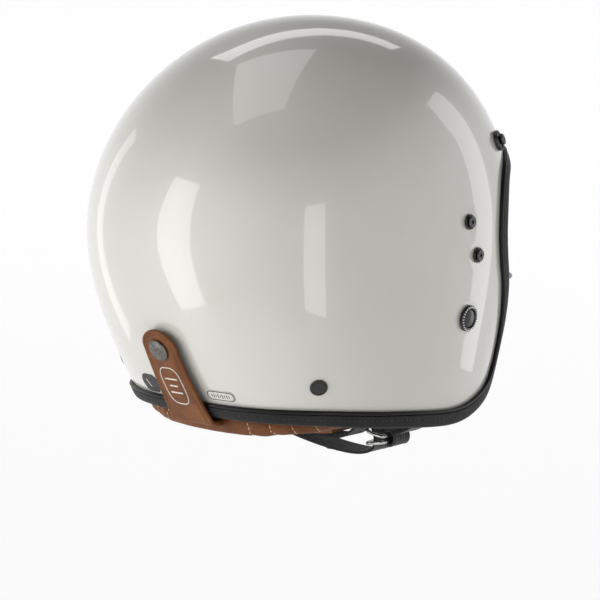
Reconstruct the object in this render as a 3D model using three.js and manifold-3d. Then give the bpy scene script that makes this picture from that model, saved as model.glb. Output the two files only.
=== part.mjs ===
// Open face motorcycle helmet, in millimetres, +Z up.
// The origin is the middle of the head, on the symmetry plane, at the level where the shell is widest.
// The face opening looks along -Y, and the wearer's right hand side is -X.

import * as THREE from "three";
import { mergeVertices } from "three/addons/utils/BufferGeometryUtils.js";
import Module from "manifold-3d";

const wasm = await Module();
wasm.setup();

// ---------------------------------------------------------------- driving dimensions

const HALF_WIDTH = 126.5; // shell, at its widest level
const REAR = 150.6; // from the origin back to the shell, at that level
const FRONT = 131.7; // from the origin forward to where the closed shell would be
const CROWN = 142.9; // from the origin up to the crown
const SQUARENESS = 2.56; // exponent of the plan outline at the widest level; 2 is an ellipse
const TUCK_DEPTH = 110; // level below the origin that the tuck is stated for
// How full the dome is, and how much the shell keeps its width below, towards each side.
const FULLNESS = { front: -0.016, side: 0.271, rear: -0.1 };
const FLARE = { front: 0.124, side: 0.04, rear: 0.086 };

const SHELL_THICK = 4;
const FIT_GAP = 0.5; // between layers that touch on the real helmet
const FOAM_IN = 33; // depth of the impact liner's inner face below the shell's outer face
const PAD_IN = 42; // depth of the comfort liner's inner face
const NAPE_PAD_IN = 44;
const FLOOR = -140; // level below every part of the shell, where closed solids end
const FAR = 200; // past the helmet in any direction

// The shell's edge in side view, from the brow round the face opening and along the neck to the nape.
const EDGE_POINTS = [
  [-150, 57.5],
  [-118, 57],
  [-98, 55.5],
  [-79, 50.5],
  [-63, 41],
  [-54, 25],
  [-50, 2],
  [-53, -18],
  [-62, -40],
  [-69.5, -66],
  [-70, -86],
  [-61, -100],
  [-41, -109],
  [-12, -113.5],
  [40, -109],
  [95, -104.5],
  [150, -105],
];
const EDGE_SAMPLES = 72;
const SHELL_PAST_EDGE = 3.8; // the shell runs this far into the trim

const TRIM_OUT = 2.8; // how far the leather trim stands off the shell
const TRIM_DROP = 10.6; // how far it reaches past the edge line
const TRIM_START = 1.6;
const TRIM_WALL = 2;
const TRIM_STEPS = 88;
const BEAD_RADIUS = 1.2;

const TAB_Z = -66.4; // button of the goggle tab
const TAB_TOP_RADIUS = 14.5;
const TAB_FOOT_Z = -117;
const TAB_GAP = 3.6; // from the shell to the leather
const LEATHER = 2.6;

const VISOR = { y: 0, z: 4, radius: 122, reach: 115, power: 2.4, thick: 2.2, from: 21.5, to: 55 };
const VISOR_TRAVEL = 36; // degrees
const VISOR_HUB = 14;
const LEVER = { z: -16, depth: 12.2, thick: 1.6, halfWide: 2.2, root: 2, length: 37, droop: 0.5 };
const LEVER_TRACK = { depth: 9.2, thick: 1.6, halfLength: 17, from: 1.5, to: 4.5 };

const STRAP = { y: -30, z: -114, x: 86, width: 22, thick: 1.9 };
const HANGER = { topX: 113, topZ: -54, bottomX: 86.3, bottomZ: -101.8 };
const PLATE = { y: -20, z: -53, depth: 6.6, wide: 24, tall: 30, thick: 1.6 };
const CHEEK = { inner: 63, front: -58, rear: 40, top: -13, bottom: -124, corner: 22 };

// ---------------------------------------------------------------- colours

const COLOURS = {
  shell: [0xc4c3be, 0.12, 0],
  gloss_black: [0x141414, 0.25, 0],
  black_leather: [0x2b2b2b, 0.6, 0],
  tan_leather: [0x8c583a, 0.6, 0],
  foam: [0x1b1b1d, 0.9, 0],
  lining: [0x2a2725, 0.95, 0],
  snap: [0x3a3833, 0.35, 0.9],
  plastic: [0x1c1c1c, 0.5, 0],
  nickel: [0x7d7972, 0.35, 0.9],
  steel: [0x9a9a9a, 0.3, 1],
  webbing: [0x101010, 0.85, 0],
  lens: [0x2c2620, 0.1, 0],
  grey_plastic: [0x6f6f6f, 0.5, 0],
  decal: [0x202020, 0.4, 0],
  pale_decal: [0xb5b4af, 0.4, 0],
};

function material(name) {
  const [color, roughness, metalness] = COLOURS[name];
  return new THREE.MeshStandardMaterial({ color, roughness, metalness });
}

// ---------------------------------------------------------------- the shell's surface

// A value that changes smoothly from the front (sine -1) past the side (0) to the rear (1).
function around(sine, v) {
  const lean = (v.rear - v.front) / 2;
  const bow = (v.rear + v.front) / 2 - v.side;
  return v.side + lean * sine + bow * sine * sine;
}

// A point on the shell's outer face: angle 0 is +X and 90 degrees is the nape.
function shellPoint(angle, z) {
  const c = Math.cos(angle);
  const s = Math.sin(angle);
  const t = THREE.MathUtils.clamp(z / CROWN, -1, 1);
  const long = (REAR + FRONT) / 2 + ((REAR - FRONT) / 2) * s;
  const power = 2 + (SQUARENESS - 2) * (z > 0 ? 1 - t * t : 1);
  const plan = (Math.abs(c) / HALF_WIDTH) ** power + (Math.abs(s) / long) ** power;
  const full = around(s, FULLNESS);
  const flare = around(s, FLARE) * (Math.max(-z, 0) / TUCK_DEPTH) ** 3;
  const above = Math.sqrt(1 - t * t) * (1 + full * t * t);
  const below = 1 - (0.5 - full) * t * t + flare;
  const r = plan ** (-1 / power) * (z >= 0 ? above : below);
  return new THREE.Vector3(r * c, r * s, z);
}

function shellNormal(angle, z) {
  const step = 0.001;
  const level = Math.min(z, CROWN - 0.5);
  const across = shellPoint(angle + step, level).sub(shellPoint(angle - step, level));
  const up = shellPoint(angle, level + 0.05).sub(shellPoint(angle, level - 0.05));
  return across.cross(up).normalize();
}

function shellFrame(point) {
  const angle = Math.atan2(point.y, point.x);
  return shellNormal(angle, point.z);
}

// The angle between low and high at which the shell's x or y is a given value at level z.
function angleWhere(axis, value, z, low, high) {
  const rising = shellPoint(high, z)[axis] > shellPoint(low, z)[axis];
  for (let i = 0; i < 40; i += 1) {
    const middle = (low + high) / 2;
    if (shellPoint(middle, z)[axis] > value === rising) high = middle;
    else low = middle;
  }
  return (low + high) / 2;
}

function rightSide(y, z) {
  return Math.PI - angleWhere("y", y, z, -Math.PI / 2, Math.PI / 2);
}

function nape(x, z) {
  return angleWhere("x", x, z, 0, Math.PI);
}

// ---------------------------------------------------------------- solids

function signedVolume(geometry) {
  const p = geometry.attributes.position;
  const corner = [new THREE.Vector3(), new THREE.Vector3(), new THREE.Vector3()];
  let volume = 0;
  for (let i = 0; i < geometry.index.count; i += 3) {
    corner.forEach((v, k) => v.fromBufferAttribute(p, geometry.index.getX(i + k)));
    volume += corner[0].dot(corner[1].clone().cross(corner[2]));
  }
  return volume;
}

// The geometry with shared vertices merged, no flat triangles, and every face pointing out.
function closed(geometry) {
  const bare = geometry.index ? geometry.toNonIndexed() : geometry.clone();
  bare.deleteAttribute("normal");
  bare.deleteAttribute("uv");
  const merged = mergeVertices(bare, 1e-3);
  const faces = [];
  for (let i = 0; i < merged.index.count; i += 3) {
    const face = [0, 1, 2].map((k) => merged.index.getX(i + k));
    if (new Set(face).size === 3) faces.push(face);
  }
  merged.setIndex(faces.flat());
  if (signedVolume(merged) < 0) merged.setIndex(faces.flatMap(([a, b, c]) => [a, c, b]));
  return merged;
}

function solid(geometry) {
  const made = closed(geometry);
  return new wasm.Manifold(
    new wasm.Mesh({
      numProp: 3,
      vertProperties: new Float32Array(made.attributes.position.array),
      triVerts: new Uint32Array(made.index.array),
    }),
  );
}

// The largest piece of a solid, without the slivers that a cut can leave loose.
function largest(manifold) {
  return manifold.decompose().sort((a, b) => b.volume() - a.volume())[0];
}

function geometryOf(manifold) {
  const mesh = largest(manifold).getMesh();
  const geometry = new THREE.BufferGeometry();
  geometry.setAttribute("position", new THREE.BufferAttribute(mesh.vertProperties, 3));
  geometry.setIndex(new THREE.BufferAttribute(mesh.triVerts, 1));
  return geometry;
}

function moved(geometry, move) {
  const p = geometry.attributes.position;
  for (let i = 0; i < p.count; i += 1) {
    const v = move(new THREE.Vector3().fromBufferAttribute(p, i), i);
    p.setXYZ(i, v.x, v.y, v.z);
  }
  return geometry;
}

// A closed solid whose face lies at a depth below the shell's outer face, down to the floor level.
function domeSolid(depth, columns, upperRows, lowerRows) {
  const levels = [];
  for (let i = 1; i <= upperRows; i += 1) {
    levels.push(CROWN * Math.cos((i / upperRows) * (Math.PI / 2)));
  }
  for (let i = 1; i <= lowerRows; i += 1) levels.push((FLOOR * i) / lowerRows);
  const profile = [new THREE.Vector2(0, CROWN)];
  levels.forEach((z) => profile.push(new THREE.Vector2(1, z)));
  profile.push(new THREE.Vector2(0, FLOOR));
  const geometry = new THREE.LatheGeometry(profile, columns);
  return solid(
    moved(geometry, (v, i) => {
      const column = Math.floor(i / profile.length) % columns;
      const row = profile[i % profile.length];
      if (row.x === 0) return new THREE.Vector3(0, 0, row.y > 0 ? CROWN - depth : FLOOR);
      const angle = (column / columns) * 2 * Math.PI;
      const inward = shellNormal(angle, row.y).multiplyScalar(-depth);
      return shellPoint(angle, row.y).add(inward);
    }),
  );
}

const SIDEWAYS = new THREE.Matrix4().makeBasis(
  new THREE.Vector3(0, 1, 0),
  new THREE.Vector3(0, 0, 1),
  new THREE.Vector3(1, 0, 0),
);

// A side view outline, in y and z, given width along X.
function sideExtrusion(outline, fromX, toX) {
  const geometry = new THREE.ExtrudeGeometry(new THREE.Shape(outline), {
    depth: toX - fromX,
    bevelEnabled: false,
  });
  geometry.translate(0, 0, fromX);
  return geometry.applyMatrix4(SIDEWAYS);
}

function sidePrism(outline) {
  return solid(sideExtrusion(outline, -FAR, FAR));
}

function block(x, y, z) {
  const geometry = new THREE.BoxGeometry(x[1] - x[0], y[1] - y[0], z[1] - z[0]);
  geometry.translate((x[0] + x[1]) / 2, (y[0] + y[1]) / 2, (z[0] + z[1]) / 2);
  return solid(geometry);
}

const edgeCurve = new THREE.SplineCurve(EDGE_POINTS.map(([y, z]) => new THREE.Vector2(y, z)));

// Everything above and behind the shell's edge line, moved past it by a distance.
function aboveEdge(past) {
  const outline = [];
  for (let i = 0; i <= EDGE_SAMPLES; i += 1) {
    const along = edgeCurve.getTangentAt(i / EDGE_SAMPLES);
    const p = edgeCurve.getPointAt(i / EDGE_SAMPLES);
    outline.push(new THREE.Vector2(p.x + along.y * past, p.y - along.x * past));
  }
  outline.push(new THREE.Vector2(FAR, FAR));
  outline.push(new THREE.Vector2(-FAR, FAR));
  return sidePrism(outline);
}

// The edge line in space, as a closed loop: brow, left side, nape, right side.
function edgeLoop() {
  const half = [];
  let browZ = 0;
  let napeZ = 0;
  for (let i = 0; i <= EDGE_SAMPLES; i += 1) {
    const p = edgeCurve.getPointAt(i / EDGE_SAMPLES);
    const front = shellPoint(-Math.PI / 2, p.y).y;
    const rear = shellPoint(Math.PI / 2, p.y).y;
    if (p.x <= front + 1) browZ = p.y;
    else if (p.x < rear - 1) {
      half.push(shellPoint(angleWhere("y", p.x, p.y, -Math.PI / 2, Math.PI / 2), p.y));
      napeZ = p.y;
    }
  }
  const mirrored = half.map((v) => new THREE.Vector3(-v.x, v.y, v.z)).reverse();
  const brow = shellPoint(-Math.PI / 2, browZ);
  const napePoint = shellPoint(Math.PI / 2, napeZ);
  const loop = [brow, ...half, napePoint, ...mirrored];
  return new THREE.CatmullRomCurve3(loop, true, "centripetal");
}

const edge = edgeLoop();
edge.arcLengthDivisions = 1200;

// A point near the edge: out is along the shell's normal, past is beyond the edge.
function nearEdge(turn, out, past) {
  const point = edge.getPointAt(turn % 1);
  const normal = shellFrame(point);
  const beyond = edge.getTangentAt(turn % 1).cross(normal).normalize();
  return point.addScaledVector(normal, out).addScaledVector(beyond, past);
}

// A section, in out and past, carried all the way round the edge.
function ringAlongEdge(section) {
  const profile = [...section, section[0]].map(([out, past]) => new THREE.Vector2(FAR + out, past));
  const geometry = new THREE.LatheGeometry(profile, TRIM_STEPS);
  return closed(
    moved(geometry, (v, i) => {
      const step = Math.floor(i / profile.length) % TRIM_STEPS;
      const point = profile[i % profile.length];
      return nearEdge(step / TRIM_STEPS, point.x - FAR, point.y);
    }),
  );
}

// A section carried along a path, which place() gives for a share from 0 to 1.
function bar(section, steps, place) {
  const outline = new THREE.Shape(section.map(([a, b]) => new THREE.Vector2(a, b)));
  const geometry = new THREE.ExtrudeGeometry(outline, { depth: 1, steps, bevelEnabled: false });
  return closed(moved(geometry, (v) => place(v.z, v.x, v.y)));
}

// A turned piece standing along +Z, from a profile of radius and height.
function turned(profile, segments) {
  const points = profile.map(([r, h]) => new THREE.Vector2(r, h));
  return closed(new THREE.LatheGeometry(points, segments).rotateX(Math.PI / 2));
}

function mesh(name, geometry, look) {
  const made = new THREE.Mesh(geometry, material(look));
  made.name = name;
  return made;
}

// A group whose +Z points straight out of the shell at a place.
function onShell(angle, z, lift) {
  const group = new THREE.Group();
  const normal = shellNormal(angle, z);
  group.position.copy(shellPoint(angle, z)).addScaledVector(normal, lift);
  group.quaternion.setFromUnitVectors(new THREE.Vector3(0, 0, 1), normal);
  return group;
}

// ---------------------------------------------------------------- shell and trim

const foamOuter = domeSolid(SHELL_THICK + 0.8, 40, 8, 8);
const foamInner = domeSolid(FOAM_IN, 28, 6, 6);
const padOuter = domeSolid(FOAM_IN + 0.6, 28, 6, 6);
const padInner = domeSolid(PAD_IN, 28, 6, 6);

function shell() {
  const skin = domeSolid(0, 40, 8, 8).subtract(domeSolid(SHELL_THICK, 40, 8, 8));
  return mesh("shell", geometryOf(skin.intersect(aboveEdge(SHELL_PAST_EDGE))), "shell");
}

function edgeTrim() {
  const inner = -SHELL_THICK - 3 * FIT_GAP - TRIM_WALL;
  const section = [
    [TRIM_OUT, TRIM_START],
    [TRIM_OUT, TRIM_DROP - 1.4],
    [TRIM_OUT - 1.4, TRIM_DROP],
    [inner + 1.4, TRIM_DROP],
    [inner, TRIM_DROP - 1.4],
    [inner, 0.4],
    [inner + TRIM_WALL, 0.4],
    [inner + TRIM_WALL, TRIM_DROP - TRIM_WALL],
    [1.7 * FIT_GAP, TRIM_DROP - TRIM_WALL],
    [1.7 * FIT_GAP, TRIM_START],
  ];
  return mesh("edge_trim", ringAlongEdge(section), "black_leather");
}

function edgeBead() {
  const section = [];
  for (let i = 0; i < 5; i += 1) {
    const a = (i / 5) * 2 * Math.PI;
    section.push([
      BEAD_RADIUS + FIT_GAP + BEAD_RADIUS * Math.cos(a),
      BEAD_RADIUS * Math.sin(a) - 0.1,
    ]);
  }
  return mesh("edge_bead", ringAlongEdge(section), "gloss_black");
}

// ---------------------------------------------------------------- impact liner and comfort liner

// The round solid that the sun visor's face is part of, turned about the visor's axis.
function visorEgg(radius, reach, segments) {
  const profile = [];
  const rows = 14;
  for (let i = 0; i <= rows; i += 1) {
    const a = (i / rows) * Math.PI;
    const across = Math.sign(Math.cos(a)) * Math.abs(Math.cos(a)) ** (2 / VISOR.power);
    const r = i % rows === 0 ? 0 : radius * Math.sin(a) ** (2 / VISOR.power);
    profile.push(new THREE.Vector2(r, -reach * across));
  }
  const geometry = new THREE.LatheGeometry(profile, segments).rotateZ(-Math.PI / 2);
  return solid(geometry.translate(0, VISOR.y, VISOR.z));
}

// A wedge about the visor's axis, between two angles above straight ahead, in degrees.
function visorWedge(from, to) {
  const outline = [new THREE.Vector2(VISOR.y, VISOR.z)];
  const steps = 6;
  for (let i = 0; i <= steps; i += 1) {
    const a = THREE.MathUtils.degToRad(from + ((to - from) * i) / steps);
    outline.push(new THREE.Vector2(VISOR.y - FAR * Math.cos(a), VISOR.z + FAR * Math.sin(a)));
  }
  return sidePrism(outline.reverse());
}

function visorDisc(radius) {
  const disc = new THREE.CylinderGeometry(radius, radius, 2 * FAR, 28).rotateZ(Math.PI / 2);
  return solid(disc.translate(0, VISOR.y, VISOR.z));
}

function visorPocket() {
  const sweep = visorWedge(VISOR.from - VISOR_TRAVEL - 3, VISOR.to + 3).add(visorDisc(26));
  return sweep.subtract(visorEgg(VISOR.radius - 6, VISOR.reach - 9, 40));
}

// The flat piece of webbing that drops from the anchor plate, inside the shell, to the chin strap.
function hangerBox(side, slack) {
  const across = HANGER.topX - HANGER.bottomX;
  const down = HANGER.topZ - HANGER.bottomZ;
  const length = Math.hypot(across, down) + slack;
  const box = new THREE.BoxGeometry(STRAP.thick + slack, STRAP.width + slack, length);
  box.rotateY(side * Math.atan2(across, down));
  const middleX = (HANGER.topX + HANGER.bottomX) / 2;
  return box.translate(side * middleX, STRAP.y, (HANGER.topZ + HANGER.bottomZ) / 2);
}

// The room that a hanger and the turning end of the chin strap need in the cheek foam.
function strapSlot(side) {
  const half = STRAP.width / 2 + 1.2;
  const x = [side * STRAP.x - 4, side * STRAP.x + 4];
  const drop = block(x, [STRAP.y - half, STRAP.y + half], [FLOOR, HANGER.bottomZ + 4]);
  return solid(hangerBox(side, 1.8)).add(drop);
}

// The steel plate inside the shell that the strap's rivet holds.
function plateBox(side, slack) {
  const angle = side > 0 ? Math.PI - rightSide(PLATE.y, PLATE.z) : rightSide(PLATE.y, PLATE.z);
  const group = onShell(angle, PLATE.z, -PLATE.depth);
  const box = new THREE.BoxGeometry(PLATE.wide + slack, PLATE.tall + slack, PLATE.thick + slack);
  group.updateMatrix();
  return box.applyMatrix4(group.matrix);
}

const cheekRegion = block([-FAR, FAR], [-FAR, 45], [FLOOR, -50]);
const keepFoam = aboveEdge(-6);

function foamParts() {
  const whole = foamOuter.subtract(foamInner).intersect(keepFoam);
  const neckRoom = block([-FAR, FAR], [20, FAR], [FLOOR, -91]);
  const plates = solid(plateBox(1, 1.6)).add(solid(plateBox(-1, 1.6)));
  const main = whole
    .subtract(plates)
    .subtract(visorPocket())
    .subtract(cheekRegion)
    .subtract(neckRoom);
  const cheekPart = whole.intersect(block([-FAR, FAR], [-FAR, 44.4], [FLOOR, -50.6]));
  const parts = [mesh("impact_liner", geometryOf(main), "foam")];
  for (const [side, name] of [[1, "left"], [-1, "right"]]) {
    const reach = side > 0 ? [0, FAR] : [-FAR, 0];
    const foam = cheekPart
      .subtract(plates)
      .intersect(block(reach, [-FAR, FAR], [FLOOR, 0]))
      .subtract(block([-FAR, FAR], [18, FAR], [FLOOR, -91]))
      .subtract(strapSlot(side));
    parts.push(mesh("cheek_foam_" + name, geometryOf(foam), "foam"));
  }
  return parts;
}

function comfortParts() {
  const lining = padOuter.subtract(padInner).intersect(aboveEdge(-3));
  const brow = block([-FAR, FAR], [-FAR, -56], [58.5, 84]);
  const browRoom = block([-FAR, FAR], [-FAR, -55], [0, 85]);
  const crown = lining.intersect(block([-FAR, FAR], [-FAR, FAR], [34, FAR])).subtract(browRoom);
  const band = lining.intersect(block([-FAR, FAR], [-46, FAR], [-10, 33]));
  const deeper = padOuter.subtract(domeSolid(NAPE_PAD_IN, 28, 6, 6));
  const napePad = deeper.intersect(block([-FAR, FAR], [46, FAR], [-88, -11]));
  return [
    mesh("crown_pad", geometryOf(crown), "lining"),
    mesh("brow_pad", geometryOf(lining.intersect(brow)), "lining"),
    mesh("headband_pad", geometryOf(band), "lining"),
    mesh("nape_pad", geometryOf(napePad), "lining"),
  ];
}

// A rounded rectangle in side view, in y and z.
function roundedOutline(front, rear, low, high, radius) {
  const shape = new THREE.Shape();
  shape.moveTo(front + radius, low);
  shape.lineTo(rear - radius, low);
  shape.absarc(rear - radius, low + radius, radius, -Math.PI / 2, 0);
  shape.absarc(rear - radius, high - radius, radius, 0, Math.PI / 2);
  shape.absarc(front + radius, high - radius, radius, Math.PI / 2, Math.PI);
  shape.absarc(front + radius, low + radius, radius, Math.PI, Math.PI * 1.5);
  return shape.getPoints(5);
}

function cheekPads() {
  const outline = roundedOutline(CHEEK.front, CHEEK.rear, CHEEK.bottom, CHEEK.top, CHEEK.corner);
  const both = sidePrism(outline).intersect(padOuter).intersect(aboveEdge(14));
  return [[1, "left"], [-1, "right"]].map(([side, name]) => {
    const reach = side > 0 ? [CHEEK.inner, FAR] : [-FAR, -CHEEK.inner];
    const pad = both.intersect(block(reach, [-FAR, FAR], [FLOOR, 0]));
    return mesh("cheek_pad_" + name, geometryOf(pad), "lining");
  });
}

// The padded roll along the nape, which thins toward its ends: out is level, and down is
// straight down from the edge line.
function neckRoll() {
  const section = [
    [-13.5, -9],
    [-34, -9],
    [-33, 8],
    [-27, 17],
    [-17, 22],
    [-11.5, 20],
    [-10.5, 15],
    [-13.5, 10],
  ];
  const reach = 0.112;
  const roll = bar(section, 26, (share, out, down) => {
    const along = share * 2 - 1;
    const full = down > 10 ? 1.1 - 0.5 * Math.abs(along) ** 2.2 : 1;
    const point = edge.getPointAt(0.5 + along * reach);
    const level = shellFrame(point).setZ(0).normalize();
    return point.addScaledVector(level, out).setZ(point.z - down * full);
  });
  return mesh("neck_roll", roll, "tan_leather");
}

// ---------------------------------------------------------------- snaps, caps, plugs and labels

function stud(name) {
  const profile = [
    [0, 0],
    [3, 0],
    [3, 1.3],
    [4.2, 1.9],
    [4.2, 3.1],
    [3.5, 3.7],
    [1.1, 3.7],
    [1.1, 0.8],
    [0, 0.8],
  ];
  return mesh(name, turned(profile, 12), "snap");
}

function ring(name, inner, outer, low, high, segments, look) {
  const bevel = Math.min(0.4, (high - low) / 3);
  const profile = [
    [inner, low],
    [outer, low],
    [outer, high - bevel],
    [outer - bevel, high],
    [inner + bevel, high],
    [inner, high - bevel],
    [inner, low],
  ];
  return mesh(name, turned(profile, segments), look);
}

function snap(name, angle, z, flange) {
  const group = onShell(angle, z, 0.35);
  group.add(stud(name + "_stud"));
  group.add(ring(name + "_ring", 3.4, flange, 0.1, 1.1, 14, "gloss_black"));
  return group;
}

function snaps() {
  const side = rightSide(-62.6, 59);
  const upper = rightSide(-11.1, 8.7);
  const lower = rightSide(-20.9, -13);
  return [
    snap("brow_snap_centre", -Math.PI / 2, 74, 7),
    snap("brow_snap_right", side, 59, 7),
    snap("brow_snap_left", Math.PI - side, 59, 7),
    snap("side_snap_upper_right", upper, 8.7, 6.2),
    snap("side_snap_upper_left", Math.PI - upper, 8.7, 6.2),
    snap("side_snap_lower_right", lower, -13, 6.2),
    snap("side_snap_lower_left", Math.PI - lower, -13, 6.2),
  ];
}

function domedDisc(radius, low, rim, height, segments) {
  const profile = [
    [0, low],
    [radius, low],
    [radius, rim],
    [radius * 0.75, rim + (height - rim) * 0.6],
    [radius * 0.4, rim + (height - rim) * 0.9],
    [0, height],
  ];
  return turned(profile, segments);
}

// The caps over the rivets that hold the chin strap, one on each side.
function rivetCaps() {
  const angle = rightSide(-15.1, -53.4);
  return [[angle, "right"], [Math.PI - angle, "left"]].map(([at, name]) => {
    const group = onShell(at, -53.4, 0.35);
    group.add(ring("rivet_bezel_" + name, 6.2, 8.6, 0, 2.2, 20, "gloss_black"));
    group.add(mesh("rivet_cap_" + name, domedDisc(5.85, 0, 1.2, 2.6, 16), "gloss_black"));
    return group;
  });
}

function rearPlugs() {
  const angle = rightSide(90.7, -88.6);
  return [[angle, "right"], [Math.PI - angle, "left"]].map(([at, name]) => {
    const group = onShell(at, -88.6, 0.35);
    group.add(mesh("rear_plug_" + name, domedDisc(5.5, 0, 0.5, 1.5, 14), "plastic"));
    return group;
  });
}

// A thin stadium-shaped label lying on the rear of the shell.
function label(name, x, z, halfLength, halfHeight, look) {
  const outline = [];
  const steps = 20;
  for (let i = 0; i < steps; i += 1) {
    const a = (i / steps) * 2 * Math.PI;
    outline.push([
      Math.cos(a) * halfHeight + Math.sign(Math.cos(a)) * (halfLength - halfHeight),
      Math.sin(a) * halfHeight,
    ]);
  }
  const geometry = bar(outline, 1, (share, across, up) => {
    const angle = nape(x + across, z + up);
    const normal = shellNormal(angle, z + up);
    return shellPoint(angle, z + up).addScaledVector(normal, 0.35 + 0.3 * share);
  });
  return mesh(name, geometry, look);
}

// ---------------------------------------------------------------- goggle tab

function tabHalfWidth(z) {
  const top = TAB_Z + 1;
  if (z > top) return Math.sqrt(Math.max(TAB_TOP_RADIUS ** 2 - (z - top) ** 2, 9));
  const share = (top - z) / (top - TAB_FOOT_Z);
  return TAB_TOP_RADIUS + 4 * share ** 1.6;
}

function goggleTab() {
  const section = [
    [-1, 0],
    [1, 0],
    [1, 1],
    [-1, 1],
  ];
  const top = TAB_Z + 1 + TAB_TOP_RADIUS - 0.4;
  const leather = bar(section, 18, (share, across, out) => {
    const z = TAB_FOOT_Z + (top - TAB_FOOT_Z) * Math.sin((share * Math.PI) / 2);
    const angle = nape(across * tabHalfWidth(z), z);
    const lift = TAB_GAP + LEATHER * out;
    return shellPoint(angle, z).addScaledVector(shellNormal(angle, z), lift);
  });
  const button = onShell(Math.PI / 2, TAB_Z, TAB_GAP + LEATHER + 0.4);
  button.add(mesh("tab_button", domedDisc(7.45, 0, 0.8, 2.2, 20), "nickel"));
  const socket = onShell(Math.PI / 2, TAB_Z, 0);
  socket.add(ring("tab_socket", 3.9, 6, 1.5, TAB_GAP - 0.5, 16, "nickel"));
  const group = new THREE.Group();
  group.add(mesh("goggle_tab", leather, "tan_leather"), button, socket);
  return group;
}

function tabPost() {
  const profile = [
    [0, 0],
    [5.6, 0],
    [5.6, 0.7],
    [3.3, 0.9],
    [3.3, 2.3],
    [2.8, 2.7],
    [0, 2.7],
  ];
  const group = onShell(Math.PI / 2, TAB_Z, 0.35);
  group.add(mesh("tab_post", turned(profile, 14), "nickel"));
  return group;
}

// ---------------------------------------------------------------- sun visor

// A ring or pin centred on the visor's axis, standing from one x towards the middle.
function onVisorAxis(side, piece, x) {
  const group = new THREE.Group();
  group.position.set(side * x, VISOR.y, VISOR.z);
  group.rotation.y = (-side * Math.PI) / 2;
  group.add(piece);
  return group;
}

function sunVisor() {
  const inner = visorEgg(VISOR.radius - VISOR.thick, VISOR.reach - VISOR.thick, 72);
  const band = visorEgg(VISOR.radius, VISOR.reach, 72).subtract(inner);
  const lens = band.intersect(visorWedge(VISOR.from, VISOR.to)).subtract(visorDisc(VISOR_HUB + 0.4));
  const group = new THREE.Group();
  group.add(mesh("visor_lens", geometryOf(lens), "lens"));
  for (const [side, name] of [[1, "left"], [-1, "right"]]) {
    const hub = ring("visor_hub_" + name, 5.4, VISOR_HUB, 0, 3, 16, "plastic");
    group.add(onVisorAxis(side, hub, VISOR.reach + 0.2));
  }
  return group;
}

// The shouldered pins that the visor's hubs turn on, fixed inside the shell.
function visorPins() {
  const profile = [
    [0, 0],
    [10, 0],
    [10, 1.6],
    [5, 1.6],
    [5, 8],
    [8, 8],
    [8, 9.4],
    [0, 9.4],
  ];
  return [[1, "left"], [-1, "right"]].map(([side, name]) => {
    const pin = mesh("visor_pin_" + name, turned(profile, 16), "plastic");
    return onVisorAxis(side, pin, HALF_WIDTH - 7.2);
  });
}

// The turn round the edge at which the right-hand side of the face opening passes a level.
function edgeTurnAt(z) {
  let best = 0.75;
  for (let turn = 0.7; turn < 0.95; turn += 0.001) {
    const p = edge.getPointAt(turn);
    const nearer = Math.abs(p.z - z) < Math.abs(edge.getPointAt(best).z - z);
    if (p.z < 40 && nearer) best = turn;
  }
  return best;
}

const leverTurn = edgeTurnAt(LEVER.z);

// The lever reaches forward and down past the trim, flat against the helmet's side.
function visorLever() {
  const root = nearEdge(leverTurn, -LEVER.depth, LEVER.root);
  const side = new THREE.Vector3(1, 0, 0);
  const along = new THREE.Vector3(0, -Math.cos(LEVER.droop), -Math.sin(LEVER.droop));
  const box = new THREE.BoxGeometry(LEVER.length, 2 * LEVER.halfWide, LEVER.thick);
  box.translate(LEVER.length / 2, 0, 0);
  box.applyMatrix4(new THREE.Matrix4().makeBasis(along, side.clone().cross(along), side));
  return mesh("visor_lever", box.translate(root.x, root.y, root.z), "grey_plastic");
}

// The track lies under the shell, along the right-hand edge of the face opening.
function leverTrack() {
  const { depth, thick, halfLength, from, to } = LEVER_TRACK;
  const place = nearEdge(leverTurn, -depth, 0);
  const along = edge.getTangentAt(leverTurn);
  const normal = shellFrame(edge.getPointAt(leverTurn));
  const beyond = along.clone().cross(normal).normalize();
  const box = new THREE.BoxGeometry(to - from, 2 * halfLength, thick);
  box.translate((from + to) / 2, 0, 0);
  box.applyMatrix4(new THREE.Matrix4().makeBasis(beyond, along, normal));
  return mesh("lever_track", box.translate(place.x, place.y, place.z), "plastic");
}

// ---------------------------------------------------------------- chin strap

// The closed outline of a line given thickness, in x and z.
function thickLine(points, thickness) {
  const curve = new THREE.SplineCurve(points.map(([x, z]) => new THREE.Vector2(x, z)));
  const steps = points.length * 3;
  const near = [];
  const far = [];
  for (let i = 0; i <= steps; i += 1) {
    const p = curve.getPointAt(i / steps);
    const along = curve.getTangentAt(i / steps);
    near.push([p.x - (along.y * thickness) / 2, p.y + (along.x * thickness) / 2]);
    far.push([p.x + (along.y * thickness) / 2, p.y - (along.x * thickness) / 2]);
  }
  return [...near, ...far.reverse()];
}

// Webbing that follows a line in x and z and is as wide as the strap along Y.
function webbing(points, thickness, width) {
  return bar(thickLine(points, thickness), 1, (share, x, z) => {
    return new THREE.Vector3(x, STRAP.y + (share - 0.5) * width, z);
  });
}

// Rounds the upper end of a strap about its swing axis, so that it turns in its own outline.
function roundEnd(geometry) {
  const disc = new THREE.CylinderGeometry(STRAP.width / 2, STRAP.width / 2, 2 * FAR, 20);
  disc.rotateZ(Math.PI / 2).translate(0, STRAP.y, STRAP.z);
  const below = block([-FAR, FAR], [-FAR, FAR], [-FAR, STRAP.z]);
  return geometryOf(solid(geometry).intersect(solid(disc).add(below)));
}

function strapAnchors() {
  return [[1, "left"], [-1, "right"]].flatMap(([side, name]) => [
    mesh("strap_hanger_" + name, closed(hangerBox(side, 0)), "webbing"),
    mesh("strap_plate_" + name, closed(plateBox(side, 0)), "steel"),
  ]);
}

const RING_LEFT = -54;
const RING_Z = -143;

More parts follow.
